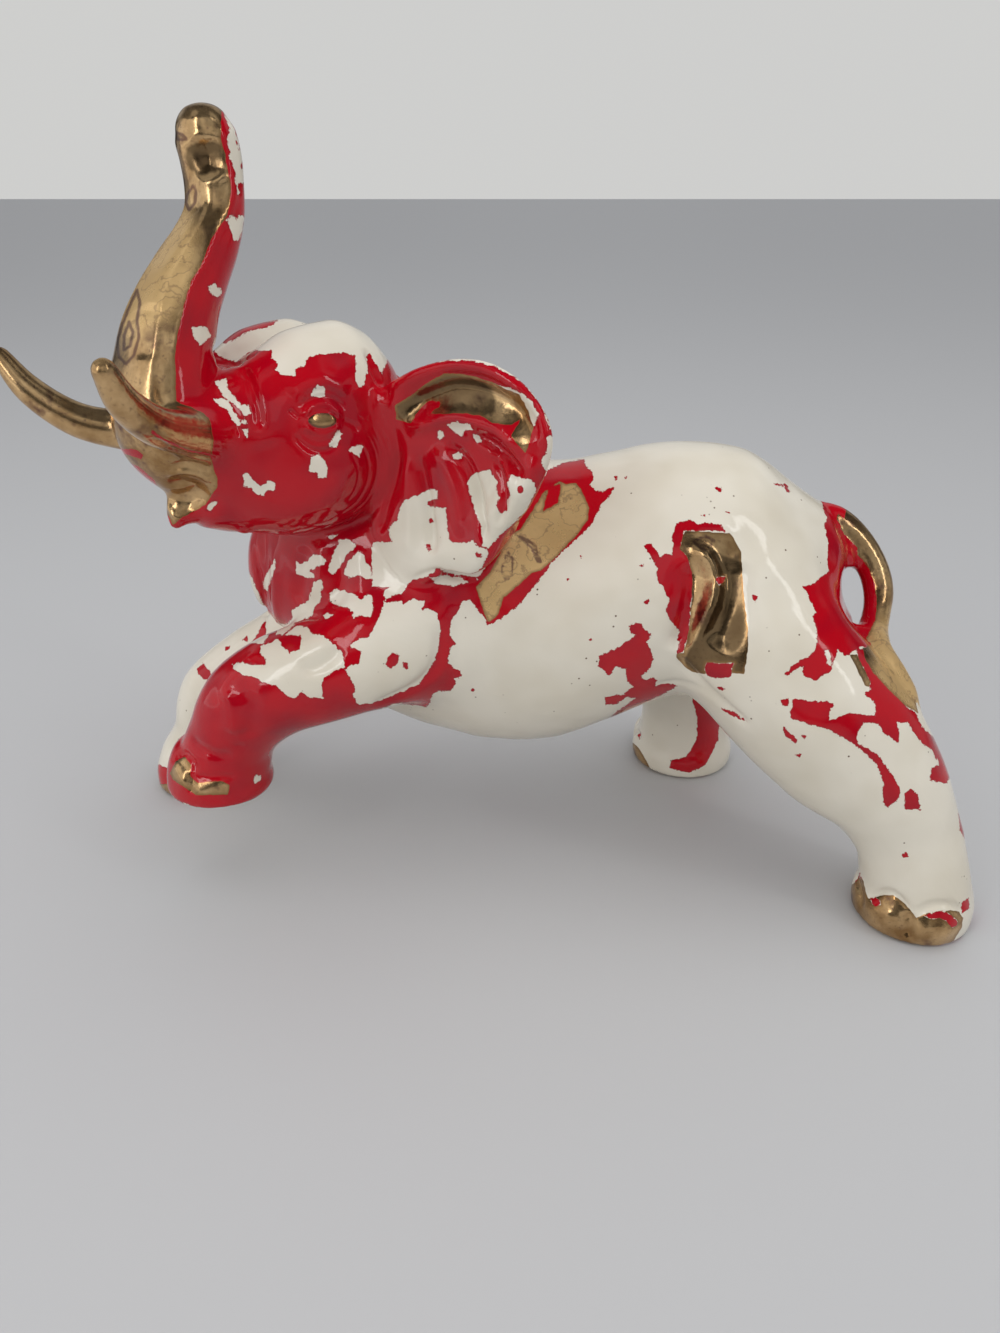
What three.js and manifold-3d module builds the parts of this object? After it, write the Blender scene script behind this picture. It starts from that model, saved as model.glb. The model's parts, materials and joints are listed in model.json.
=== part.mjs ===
// Slip-cast ceramic elephant, charging with its trunk raised.
// Millimetres, +Z up. The body lies along X and faces -X, its left side is -Y.
import * as THREE from 'three';
import { mergeVertices } from 'three/addons/utils/BufferGeometryUtils.js';
import Module from 'manifold-3d';

const wasm = await Module();
wasm.setup();

// Sizes shared by several pieces
const SEAM = 0.3; // clearance of every luted joint
const WALL = 4.5; // thickness of the cast wall
const VENT_RADIUS = 3; // firing vent in the belly
const VENT_X = 8;
const SOLE_EDGE = 1.5; // rounding around a sole
const LIFT = 35.5; // height of the raised forefoot's sole

// The head's own frame: forward, left and up from the middle of the skull
const HEAD_CENTRE = new THREE.Vector3(-53, -10, 145);
const HEAD_TURN = THREE.MathUtils.degToRad(42); // toward the left side
const HEAD_ROLL = THREE.MathUtils.degToRad(5); // left side up

const headFrame = new THREE.Matrix4();
{
  const forward = new THREE.Vector3(-Math.cos(HEAD_TURN), -Math.sin(HEAD_TURN), 0);
  const left = new THREE.Vector3(0, 0, 1).cross(forward).applyAxisAngle(forward, HEAD_ROLL);
  const up = forward.clone().cross(left);
  headFrame.makeBasis(forward, left, up).setPosition(HEAD_CENTRE);
}

// Stations are [x, y, z, half width, half height] along each piece
const TORSO = [
  [-72, 0, 98, 14, 17],
  [-66, 0, 98, 21, 25],
  [-56, 0, 97, 28, 34],
  [-42, 0, 95, 33, 43],
  [-22, 0, 93, 37, 50],
  [-5, 0, 88, 40, 49],
  [16, 0, 85, 41, 45.5],
  [32, 0, 89, 41, 43.5],
  [46, 0, 94, 40, 41.5],
  [60, 0, 96.5, 39, 40],
  [76, 0, 95.5, 36, 38.5],
  [90, 0, 91, 31, 34],
  [101, 0, 88.3, 24, 28.7],
  [107, 0, 88, 17, 21],
];
const FORELEG_LEFT = [
  [-20, -22, 88, 20, 24],
  [-36, -30, 83, 17, 19],
  [-52, -33, 77, 15, 16],
  [-67, -33, 71.5, 15, 15.5],
  [-77, -32.5, 64, 14.5, 15],
  [-83.5, -32, 53.5, 13.5, 13.5],
  [-87, -31.5, 44, 14.5, 14.5],
  [-89, -31, LIFT + 5, 16.3, 16.3],
  [-89, -31, LIFT + SOLE_EDGE, 16.5, 16.5],
];
const FORELEG_RIGHT = [
  [-36, 20, 88, 18, 24],
  [-54, 22, 72.5, 16, 18.5],
  [-73, 23.5, 59, 15, 15],
  [-91, 25, 47.5, 14.5, 14.5],
  [-103, 25.5, 36, 14, 15],
  [-108, 26, 22, 14, 14],
  [-113, 26, 9, 16, 16.3],
  [-114, 26, 4.5, 16.8, 17],
  [-114, 26, SOLE_EDGE, 17, 17.2],
];
const HIND_LEG_LEFT = [
  [74, -20, 93, 24, 28],
  [84, -28, 80, 25, 28],
  [94, -34, 67, 24, 25.5],
  [106, -39, 54.5, 21, 23.5],
  [118.5, -44, 41, 18, 19],
  [126, -48, 27, 15.5, 15.8],
  [129.5, -50, 15, 16.3, 16],
  [130.5, -50.5, 6, 18, 18],
  [130.5, -50.5, SOLE_EDGE, 18, 18],
];
const HIND_LEG_RIGHT = [
  [62, 18, 92, 22, 27],
  [64, 28, 74, 22, 26],
  [66, 35, 57, 19.5, 22],
  [69, 39.5, 40, 16.5, 17.5],
  [71.5, 42, 25, 16, 16],
  [72.5, 43.3, 12, 18, 17.3],
  [72.7, 43.5, 5.5, 19.8, 19.3],
  [72.7, 43.5, SOLE_EDGE, 19.8, 19.3],
];
const TAIL = [
  [97, 3, 112, 5.5, 5.5],
  [105, 1.5, 111.5, 5.5, 5.2],
  [111, 0, 107.5, 5.2, 5],
  [115.3, -2, 102.5, 5, 4.8],
  [118.3, -4.5, 97, 5, 4.8],
  [119.3, -8, 91, 5, 4.8],
  [118.2, -12, 86, 4.8, 4.4],
  [117, -15.5, 81.5, 4.4, 4],
  [117.2, -19, 77.5, 4.4, 4],
  [119, -22.5, 74, 4.6, 4.4],
  [121.5, -26, 70.5, 4.6, 4.4],
  [124.3, -29.5, 66.5, 3.8, 3.6],
  [126.3, -32, 63, 2.2, 2.2],
];

// The next lists are in the head's frame: forward, left, up
const SKULL = [
  [-23, 0, 0, 12, 13],
  [-17, 0, 1, 20, 19],
  [-9, 0, 1.5, 26.5, 26],
  [0, 0, 1.5, 30, 29],
  [12, 0, 0.5, 30, 28.5],
  [22, 0, -1.5, 27.5, 25.5],
  [31, 0, -1.5, 22.5, 21],
  [38, 0, 0, 17, 16],
  [43, 0, 1.5, 12, 10.5],
];
const TRUNK = [
  [22, 0, -3, 15, 14],
  [33, 0, -1, 16.5, 15.5],
  [42, 0, 5, 16.5, 15],
  [45, 0, 14, 15.5, 13.5],
  [43, 0, 22.5, 14.2, 12.8],
  [40.4, 0, 29.5, 13, 12.2],
  [36.5, 0, 36.5, 11.8, 11],
  [31.4, 0, 43.3, 10.6, 9.8],
  [26.2, 0, 50, 9.3, 8.7],
  [22.4, 0, 56.5, 8.1, 7.8],
  [20.8, 0, 63, 7.5, 7.3],
  [20.3, 0, 69, 7.5, 7.2],
  [20.8, 0, 73.5, 7.6, 7.2],
  [21.4, 0, 76.5, 6.8, 6.4],
];
const LOWER_JAW = [
  [18, 0, -16, 16, 9],
  [29, 0, -16.5, 14, 8.5],
  [37, 0, -15, 12, 7.5],
  [42.5, 0, -14.8, 8.5, 6],
  [46, 0, -17, 4.6, 3.8],
  [47.6, 0, -19, 2, 1.8],
];
const TUSK = [
  [28, 9, 1, 6.6, 6.6],
  [40, 14, 2.7, 6.3, 6.3],
  [50, 19, 4.8, 5.3, 5.3],
  [59, 25, 8.5, 4.7, 4.7],
  [67.3, 30.7, 17, 3.9, 3.9],
  [71.5, 34.6, 26, 2.6, 2.6],
];
const SKULL_CORNER = 2.7; // fullness of the skull's section at the brow domes and the jaws
const DOME_GROOVE = 0.13; // depth of the groove between the brow domes, share of the radius
const DOME_GROOVE_WIDTH = 0.3; // radians

// Outline of an ear: left and up in the head's frame, from the top of its root round to the bottom
const EAR_OUTLINE = [
  [24, 10], [34, 14], [45, 17.5], [55, 19.3], [63, 18.3], [71, 14], [76.8, 7], [78.5, -1],
  [76, -9], [70, -18.5], [63.5, -26], [59, -33.5], [53.5, -37.5], [46, -37.5], [38, -42],
  [29, -40], [22, -26], [20, -8],
];
const EAR_MIDDLE = [50, -9];
const EAR_RIM = 3; // half thickness near the rim
const EAR_SWEEP = 0.31; // slope backward away from the head
const FAR_EAR_SWEEP = 0.55;
const EAR_BACKING = 12; // extra depth where the lower half lies on the shoulder

// Builds a closed loft through stations.
// across: direction of the half width. start and finish: length of the rounded end as a share
// of its radius. soleLevel: makes the finish a level flat sole. grow: offset of the surface.
// facing: keeps every section square to this direction instead of to the path.
// corner: power of the section's superellipse, 2 for an ellipse.
function loft(stations, options) {
  const { across, around = 24, along = 16, start = 0.6, finish = 0.6 } = options;
  const { soleLevel = null, grow = 0, groove = 0, facing = null, corner = 2 } = options;
  const path = new THREE.CatmullRomCurve3(
    stations.map(([x, y, z]) => new THREE.Vector3(x, y, z)), false, 'centripetal');
  const sizes = new THREE.CatmullRomCurve3(
    stations.map(([, , , width, height]) => new THREE.Vector3(width, height, 0)));
  const frameAt = (t) => {
    const ahead = facing ? facing.clone() : path.getTangent(t);
    if (soleLevel !== null && t === 1) ahead.set(0, 0, -1);
    const side = across.clone().addScaledVector(ahead, -across.dot(ahead)).normalize();
    return { centre: path.getPoint(t), ahead, side, up: ahead.clone().cross(side) };
  };
  const positions = [];
  const rings = [];
  const addPoint = (point) => positions.push(point.x, point.y, point.z) / 3 - 1;
  const addRing = (t, advance, scale, inset = 0) => {
    const { centre, ahead, side, up } = frameAt(t);
    const size = sizes.getPoint(t);
    const ring = [];
    for (let i = 0; i < around; i += 1) {
      const angle = (2 * Math.PI * i) / around;
      const offTop = Math.abs(angle - Math.PI / 2) / DOME_GROOVE_WIDTH;
      const cos = Math.abs(Math.cos(angle));
      const sin = Math.abs(Math.sin(angle));
      const radius = scale * (1 - groove * Math.exp(-offTop * offTop))
        / (cos ** corner + sin ** corner) ** (1 / corner);
      const point = centre.clone().addScaledVector(ahead, advance);
      point.addScaledVector(side, (size.x + grow - inset) * radius * Math.cos(angle));
      point.addScaledVector(up, (size.y + grow - inset) * radius * Math.sin(angle));
      ring.push(addPoint(point));
    }
    rings.push(ring);
  };
  const capRings = 4;
  const capLength = (t, share) => {
    const size = sizes.getPoint(t);
    return share * Math.min(size.x, size.y) + grow;
  };
  const pole = (t, advance) => {
    const { centre, ahead } = frameAt(t);
    return addPoint(centre.clone().addScaledVector(ahead, advance));
  };

  const startLength = capLength(0, start);
  const first = pole(0, -startLength);
  for (let k = 1; k < capRings; k += 1) {
    const angle = (k / capRings) * Math.PI * 0.5;
    addRing(0, -startLength * Math.cos(angle), Math.sin(angle));
  }
  for (let i = 0; i <= along; i += 1) addRing(i / along, 0, 1);
  let last;
  if (soleLevel === null) {
    const length = capLength(1, finish);
    for (let k = capRings - 1; k > 0; k -= 1) {
      const angle = (k / capRings) * Math.PI * 0.5;
      addRing(1, length * Math.cos(angle), Math.sin(angle));
    }
    last = pole(1, length);
  } else {
    const drop = stations.at(-1)[2] - soleLevel + grow;
    addRing(1, drop, 1, SOLE_EDGE);
    last = pole(1, drop);
  }

  const faces = [];
  const lastRing = rings.at(-1);
  for (let i = 0; i < around; i += 1) {
    const next = (i + 1) % around;
    faces.push(first, rings[0][next], rings[0][i], last, lastRing[i], lastRing[next]);
    for (let k = 1; k < rings.length; k += 1) {
      const [a, b, c, d] = [rings[k - 1][i], rings[k - 1][next], rings[k][i], rings[k][next]];
      faces.push(a, b, c, b, d, c);
    }
  }
  return geometryOf(positions, faces);
}

function geometryOf(positions, faces) {
  const geometry = new THREE.BufferGeometry();
  geometry.setAttribute('position', new THREE.Float32BufferAttribute(positions, 3));
  geometry.setIndex(faces);
  return geometry;
}

// A padded flap: rings of the outline shrunk toward its middle, with a front and a back
function ear(side, sweep) {
  const outline = new THREE.SplineCurve(EAR_OUTLINE.concat([EAR_OUTLINE[0]])
    .map(([left, up]) => new THREE.Vector2(left, up))).getPoints(36).slice(0, 36);
  const middle = new THREE.Vector2(...EAR_MIDDLE);
  const shares = [1, 0.97, 0.88, 0.72, 0.5, 0.25];
  const positions = [];
  const faces = [];
  const addPoint = (forward, left, up) => positions.push(forward, side * left, up) / 3 - 1;
  const leaf = (left) => -3 - sweep * (left - 30);
  const surface = (front) => {
    const depth = (share, point) => {
      const edge = Math.sqrt(1 - Math.min(1, share) ** 8);
      const backing = EAR_BACKING * THREE.MathUtils.smoothstep(-point.y, 2, 26);
      const dish = 2.5 * (1 - THREE.MathUtils.smoothstep(share, 0.45, 0.85));
      const thickness = front ? EAR_RIM - dish : -EAR_RIM - dish - backing * (1 - share ** 6);
      return leaf(point.x) + thickness * edge;
    };
    const rings = shares.map((share) => outline.map((corner) => {
      const point = middle.clone().lerp(corner, share);
      return share === 1 && !front ? null : addPoint(depth(share, point), point.x, point.y);
    }));
    rings.push(outline.map(() => null));
    const centre = addPoint(depth(0, middle), middle.x, middle.y);
    return { rings, centre };
  };
  const front = surface(true);
  const back = surface(false);
  back.rings[0] = front.rings[0];
  const count = outline.length;
  const flip = side > 0;
  const addFace = (a, b, c, outward) => faces.push(...(outward === flip ? [a, b, c] : [a, c, b]));
  for (const [{ rings, centre }, outward] of [[front, true], [back, false]]) {
    for (let i = 0; i < count; i += 1) {
      const next = (i + 1) % count;
      for (let k = 1; k < shares.length; k += 1) {
        addFace(rings[k - 1][i], rings[k][i], rings[k - 1][next], outward);
        addFace(rings[k][i], rings[k][next], rings[k - 1][next], outward);
      }
      addFace(rings[shares.length - 1][i], centre, rings[shares.length - 1][next], outward);
    }
  }
  return geometryOf(positions, faces).applyMatrix4(headFrame);
}

// Solids for joining and cutting
function solidOf(source) {
  const geometry = source.clone();
  geometry.deleteAttribute('normal');
  geometry.deleteAttribute('uv');
  const merged = mergeVertices(geometry, 1e-4);
  return new wasm.Manifold(new wasm.Mesh({
    numProp: 3,
    vertProperties: new Float32Array(merged.attributes.position.array),
    triVerts: new Uint32Array(merged.index.array),
  }));
}

// The largest connected body of a cut solid, without the offcuts
function largestBody(solid) {
  const mesh = solid.getMesh();
  const parent = Array.from({ length: mesh.vertProperties.length / mesh.numProp }, (_, i) => i);
  const find = (i) => {
    while (parent[i] !== i) {
      parent[i] = parent[parent[i]];
      i = parent[i];
    }
    return i;
  };
  for (let i = 0; i < mesh.triVerts.length; i += 3) {
    parent[find(mesh.triVerts[i + 1])] = find(mesh.triVerts[i]);
    parent[find(mesh.triVerts[i + 2])] = find(mesh.triVerts[i]);
  }
  const bodies = new Map();
  for (let i = 0; i < mesh.triVerts.length; i += 3) {
    const root = find(mesh.triVerts[i]);
    if (!bodies.has(root)) bodies.set(root, []);
    bodies.get(root).push(mesh.triVerts[i], mesh.triVerts[i + 1], mesh.triVerts[i + 2]);
  }
  const positions = [];
  for (let i = 0; i < mesh.vertProperties.length; i += mesh.numProp) {
    positions.push(...mesh.vertProperties.slice(i, i + 3));
  }
  const largest = [...bodies.values()].sort((a, b) => b.length - a.length)[0];
  return mergeVertices(geometryOf(positions, largest).toNonIndexed(), 1e-4);
}

const alongBody = new THREE.Vector3(1, 0, 0);
const acrossBody = new THREE.Vector3(0, 1, 0);
const alongHead = new THREE.Vector3().setFromMatrixColumn(headFrame, 0);
const acrossHead = new THREE.Vector3().setFromMatrixColumn(headFrame, 1);

const inHead = (stations, side = 1) => stations.map(([forward, left, up, width, height]) => {
  const point = new THREE.Vector3(forward, side * left, up).applyMatrix4(headFrame);
  return [point.x, point.y, point.z, width, height];
});

const torsoLoft = (grow, around, along) => solidOf(loft(TORSO, {
  across: acrossBody, facing: alongBody, around, along, start: 0.55, finish: 0.4, grow,
}));
const torso = (grow) => torsoLoft(grow, 32, 20);
const skullLoft = (grow, around, along) => solidOf(loft(inHead(SKULL), {
  across: acrossHead, facing: alongHead, around, along, start: 0.6, finish: 0.45, grow,
  groove: DOME_GROOVE, corner: SKULL_CORNER,
}));
const skull = (grow) => skullLoft(grow, 28, 14);
const leg = (stations, soleLevel, grow) => solidOf(loft(stations, {
  across: acrossBody, around: 20, along: 14, start: 0.7, soleLevel, grow,
}));
const trunk = (grow) => solidOf(loft(inHead(TRUNK), {
  across: acrossHead, around: 18, along: 20, start: 0.6, finish: 0.75, grow,
}));
const jaw = (grow) => solidOf(loft(inHead(LOWER_JAW), {
  across: acrossHead, around: 16, along: 8, start: 0.5, finish: 0.8, grow,
}));
const tusk = (side, grow) => solidOf(loft(inHead(TUSK, side), {
  across: acrossHead, around: 10, along: 12, start: 0.6, finish: 0.9, grow,
}));
const tail = () => solidOf(loft(TAIL, {
  across: acrossBody, around: 10, along: 22, start: 0.6, finish: 0.8,
}));

// Neighbours as cutters, with the seam clearance
const torsoSeat = torso(SEAM);
const skullSeat = skull(SEAM);
const trunkSeat = trunk(SEAM);
const forelegLeftSeat = leg(FORELEG_LEFT, LIFT, SEAM);
const forelegRightSeat = leg(FORELEG_RIGHT, 0, SEAM);
const hindLegLeftSeat = leg(HIND_LEG_LEFT, 0, SEAM);

const vent = solidOf(new THREE.CylinderGeometry(VENT_RADIUS, VENT_RADIUS, 30, 20)
  .rotateX(Math.PI / 2).translate(VENT_X, 0, 45));

const CREAM = { color: 0xd7cfbc, roughness: 0.12, metalness: 0 };
const RED = { color: 0xbe0014, roughness: 0.1, metalness: 0 };
const GOLD = { color: 0x9a7440, roughness: 0.16, metalness: 1 };

const elephant = new THREE.Group();
function place(name, solid, glaze) {
  const mesh = new THREE.Mesh(largestBody(solid), new THREE.MeshStandardMaterial(glaze));
  mesh.name = name;
  elephant.add(mesh);
}

place('torso', torso(0).subtract(torsoLoft(-WALL, 20, 12)).subtract(vent), CREAM);
place('head', skull(0).subtract(skullLoft(-WALL, 18, 10)).subtract(torsoSeat), RED);
place('lower_jaw', jaw(0).subtract(skullSeat).subtract(trunkSeat).subtract(torsoSeat), RED);
place('trunk', trunk(0).subtract(skullSeat), GOLD);
place('tusk_left', tusk(1, 0).subtract(skullSeat).subtract(trunkSeat), GOLD);
place('tusk_right', tusk(-1, 0).subtract(skullSeat).subtract(trunkSeat), GOLD);
place('ear_left', solidOf(ear(1, EAR_SWEEP))
  .subtract(skullSeat).subtract(torsoSeat).subtract(forelegLeftSeat), RED);
place('ear_right', solidOf(ear(-1, FAR_EAR_SWEEP))
  .subtract(skullSeat).subtract(torsoSeat).subtract(forelegRightSeat), RED);
place('foreleg_left', leg(FORELEG_LEFT, LIFT, 0).subtract(torsoSeat), CREAM);
place('foreleg_right', leg(FORELEG_RIGHT, 0, 0).subtract(torsoSeat), CREAM);
place('hind_leg_left', leg(HIND_LEG_LEFT, 0, 0).subtract(torsoSeat), CREAM);
place('hind_leg_right', leg(HIND_LEG_RIGHT, 0, 0).subtract(torsoSeat), CREAM);
place('tail', tail().subtract(torsoSeat).subtract(hindLegLeftSeat), GOLD);

// The origin is at the middle of the object's base
const box = new THREE.Box3().setFromObject(elephant);
const middle = box.getCenter(new THREE.Vector3());
elephant.position.set(-middle.x, -middle.y, -box.min.z);
elephant.updateMatrixWorld(true);

export default elephant;
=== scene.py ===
"""Slip-cast ceramic elephant, charging with its trunk raised, in cream, red and gold glazes."""

import json
import math

import bmesh
import bpy
import numpy as np
import openvdb
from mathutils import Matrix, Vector
from mathutils.bvhtree import BVHTree

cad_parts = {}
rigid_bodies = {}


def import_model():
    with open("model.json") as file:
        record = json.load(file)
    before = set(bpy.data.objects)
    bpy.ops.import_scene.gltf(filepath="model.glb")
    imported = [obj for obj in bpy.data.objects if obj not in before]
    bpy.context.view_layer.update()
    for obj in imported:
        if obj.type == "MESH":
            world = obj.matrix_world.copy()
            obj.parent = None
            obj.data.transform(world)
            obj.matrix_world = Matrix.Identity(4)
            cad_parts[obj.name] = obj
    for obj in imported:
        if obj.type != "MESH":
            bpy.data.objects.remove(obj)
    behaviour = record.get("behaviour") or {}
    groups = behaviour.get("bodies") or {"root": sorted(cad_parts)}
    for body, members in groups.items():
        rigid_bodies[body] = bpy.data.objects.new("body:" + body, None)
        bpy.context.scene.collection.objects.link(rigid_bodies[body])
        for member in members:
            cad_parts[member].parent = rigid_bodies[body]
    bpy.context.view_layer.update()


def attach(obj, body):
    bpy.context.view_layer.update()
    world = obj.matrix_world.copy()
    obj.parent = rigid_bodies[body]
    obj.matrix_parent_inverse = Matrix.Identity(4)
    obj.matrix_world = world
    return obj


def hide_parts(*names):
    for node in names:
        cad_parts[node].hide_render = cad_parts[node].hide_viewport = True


for default in list(bpy.data.objects):
    bpy.data.objects.remove(default)

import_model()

# Sizes, in millimetres, in the modelling frame: faces -X, left side -Y, up +Z
TO_PART = np.array([-7.749, 8.186, 0.0])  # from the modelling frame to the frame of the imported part
GRAIN = 1.0  # spacing of the clay's grid
BAND = 12.0  # depth to which the clay's distances are kept
VENT_RADIUS = 3.0  # firing hole in the belly
VENT_X = 8.0
VENT_DEPTH = 14.0
SOLE_EDGE = 1.5  # rounding of a sole's edge
LIFT = 35.5  # height of the raised forefoot's sole

# The head's own frame: forward, left and up from the middle of the skull
HEAD_CENTRE = np.array([-53.0, -10.0, 145.0])
HEAD_TURN = math.radians(42)
HEAD_ROLL = math.radians(5)

# The eye of the photograph
CAMERA = np.array([0.0, -300.0, 214.0])
CAMERA_PITCH = math.radians(27)
LENS = 1000.0  # pixels
CENTRE = (500.0, 666.5)  # pixels

# Stations are x, y, z, half width, half height along each piece
TORSO = [
    (-72, 0, 98, 14, 17), (-66, 0, 98, 21, 25), (-56, 0, 97, 28, 34), (-42, 0, 95, 33, 43),
    (-22, 0, 93, 37, 50), (-5, 0, 88, 40, 49), (16, 0, 85, 41, 45.5), (32, 0, 89, 41, 43.5),
    (46, 0, 94, 40, 41.5), (60, 0, 96.5, 39, 40), (76, 0, 95.5, 36, 38.5), (90, 0, 91, 31, 34),
    (101, 0, 88.3, 24, 28.7), (107, 0, 88, 17, 21),
]
FORELEG_LEFT = [
    (-20, -22, 88, 20, 24), (-36, -30, 83, 17, 19), (-52, -33, 77, 15, 16),
    (-67, -33, 71.5, 15, 15.5), (-77, -32.5, 64, 14.5, 15), (-83.5, -32, 53.5, 13.5, 13.5),
    (-87, -31.5, 44, 14.5, 14.5), (-89, -31, LIFT + 5, 16.3, 16.3),
    (-89, -31, LIFT + SOLE_EDGE, 16.5, 16.5),
]
FORELEG_RIGHT = [
    (-36, 20, 88, 18, 24), (-54, 22, 72.5, 16, 18.5), (-73, 23.5, 59, 15, 15),
    (-91, 25, 47.5, 14.5, 14.5), (-103, 25.5, 36, 14, 15), (-108, 26, 22, 14, 14),
    (-113, 26, 9, 16, 16.3), (-114, 26, 4.5, 16.8, 17), (-114, 26, SOLE_EDGE, 17, 17.2),
]
HIND_LEG_LEFT = [
    (71, -20, 93, 23.5, 26), (81, -28, 80, 24, 25.5), (93, -34, 67, 23.5, 24.5),
    (106, -39, 54.5, 21, 23.5), (118.5, -44, 41, 18, 19), (126, -48, 27, 15.5, 15.8),
    (129.5, -50, 15, 16.3, 16), (130.5, -50.5, 6, 18, 18), (130.5, -50.5, SOLE_EDGE, 18, 18),
]
HIND_LEG_RIGHT = [
    (62, 18, 92, 22, 27), (64, 28, 74, 22, 26), (66, 35, 57, 19.5, 22),
    (69, 39.5, 40, 16.5, 17.5), (71.5, 42, 25, 16, 16), (72.5, 43.3, 12, 18, 17.3),
    (72.7, 43.5, 5.5, 19.8, 19.3), (72.7, 43.5, SOLE_EDGE, 19.8, 19.3),
]
TAIL = [
    (97, 3, 112, 5.5, 5.5), (105, 1.5, 111.5, 5.5, 5.2), (111, 0, 107.5, 5.2, 5),
    (115.3, -2, 102.5, 5, 4.8), (118.3, -4.5, 97, 5, 4.8), (119.3, -8, 91, 5, 4.8),
    (117.8, -12.5, 86.4, 4.8, 4.5), (115.6, -18.9, 83.1, 4.6, 4.4),
    (113.9, -26.9, 81.3, 4.6, 4.4), (114.8, -32.2, 78.9, 4.8, 4.6),
    (117.2, -35.6, 75.5, 4.8, 4.5), (120.2, -38.4, 71.4, 4.2, 4), (122.5, -40, 67.5, 2.6, 2.5),
]
# Slip that fills the corner between the tail and the haunch
TAIL_WEB = [(108, -22, 84.5, 3, 3), (112, -20.5, 82.5, 3, 3), (116, -18.5, 80.5, 3, 3)]

# The next lists are in the head's frame: forward, left, up
SKULL = [
    (-23, 0, 0, 12, 13), (-17, 0, 1, 20, 19), (-9, 0, 1.5, 26.5, 26), (0, 0, 1.5, 30, 29),
    (12, 0, 0.5, 30, 28.5), (22, 0, -1.5, 27.5, 25.5), (31, 0, -1.5, 22.5, 21),
    (38, 0, 0, 17, 16), (43, 0, 1.5, 12, 10.5),
]
TRUNK = [
    (22, 0, -3, 15, 14), (33, 0, -1, 16.5, 15.5), (42, 0, 5, 16.5, 15), (45, 0, 14, 15.5, 13.5),
    (43, 0, 22.5, 14.2, 12.8), (40.4, 0, 29.5, 13, 12.2), (36.5, 0, 36.5, 11.8, 11),
    (31.4, 0, 43.3, 10.6, 9.8), (26.2, 0, 50, 9.3, 8.7), (22.6, 0, 56.5, 8.2, 7.9),
    (21.3, 0, 63, 8.0, 7.7), (21.0, 0, 69, 8.2, 7.9), (21.5, 0, 73.5, 8.3, 7.9),
    (22.0, 0, 76.0, 7.2, 6.9),
]
LOWER_JAW = [
    (18, 0, -16, 16, 9), (29, 0, -16.5, 14, 8.5), (37, 0, -15, 12, 7.5), (42.5, 0, -14.8, 8.5, 6),
    (46, 0, -17, 4.6, 3.8), (47.6, 0, -19, 2, 1.8),
]
TUSK = [
    (28, 9, 1, 6.6, 6.6), (40, 14, 2.7, 6.3, 6.3), (50, 19, 4.8, 5.3, 5.3), (59, 25, 8.5, 4.7, 4.7),
    (67.3, 30.7, 17, 3.9, 3.9), (71.5, 34.6, 26, 2.6, 2.6),
]
NEAR_TUSK = [
    (28, 9, 1.5, 6.6, 6.4), (40, 14, 4.5, 6.4, 6.2), (50, 19, 7.6, 5.6, 5.4),
    (59, 25, 11.5, 4.9, 4.8), (67.0, 30.7, 18.2, 4.1, 4.0), (71.3, 34.4, 25.8, 2.8, 2.8),
]
SKULL_CORNER = 2.7  # squareness of the skull's section, 2 is an oval
DOME_GROOVE = 0.13  # depth of the valley along the crown, as a share of the half height
DOME_GROOVE_WIDTH = 0.3  # radians

# Outline of an ear: left and up in the head's frame
EAR_OUTLINE = [
    (24, 10), (34, 14), (45, 17.5), (55, 19.3), (63, 18.3), (71, 14), (76.8, 7), (78.5, -1),
    (76, -9), (70, -18.5), (63.5, -26), (59, -33.5), (53.5, -37.5), (46, -37.5), (38, -42),
    (29, -40), (22, -26), (20, -8),
]
EAR_MIDDLE = (50, -9)
EAR_RIM = 3.0  # half thickness of the flap
EAR_SWEEP = 0.31  # millimetres back for each millimetre out
FAR_EAR_SWEEP = 0.55
EAR_BACKING = 12.0  # thickness added behind the lower ear
EAR_DISH = 2.5  # how far the ear's middle lies behind its rim
EAR_FACETS = 144  # round the rim
TORSO_BOTTOM = 43.4
# Softness of the slip fillets where pieces are luted on, in this order
BODY_FILLETS = (("torso", 1), ("hind_leg_left", 12), ("hind_leg_right", 12),
                ("foreleg_left", 9), ("foreleg_right", 9))
HEAD_FILLETS = (("head", 1), ("trunk", 7), ("lower_jaw", 4), ("tusk_left", 6), ("tusk_right", 6))
LAST_FILLETS = (("ear_left", 3), ("ear_right", 3), ("tail", 2.5))
NECK_FILLET = 4
WEB_FILLET = 4


def head_axes():
    """Forward, left and up of the turned head."""
    forward = np.array([-math.cos(HEAD_TURN), -math.sin(HEAD_TURN), 0.0])
    level_left = np.array([math.sin(HEAD_TURN), -math.cos(HEAD_TURN), 0.0])
    left = level_left * math.cos(HEAD_ROLL) + np.array([0, 0, math.sin(HEAD_ROLL)])
    return np.array([forward, left, np.cross(forward, left)])


HEAD_AXES = head_axes()
ACROSS_BODY = np.array([0.0, 1.0, 0.0])
ACROSS_HEAD = HEAD_AXES[1]


def in_head(points, side=1):
    """Points or stations of the head's frame, in the modelling frame."""
    table = np.array(points, float)
    table[:, 1] *= side
    table[:, :3] = HEAD_CENTRE + table[:, :3] @ HEAD_AXES
    return table


def to_head(points):
    """Points of the modelling frame, in the head's frame."""
    return (points - HEAD_CENTRE) @ HEAD_AXES.T


def smoothstep(low, high, value):
    share = np.clip((value - low) / (high - low), 0, 1)
    return share * share * (3 - 2 * share)


def unit(vectors):
    return vectors / np.maximum(np.linalg.norm(vectors, axis=-1, keepdims=True), 1e-12)


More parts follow.
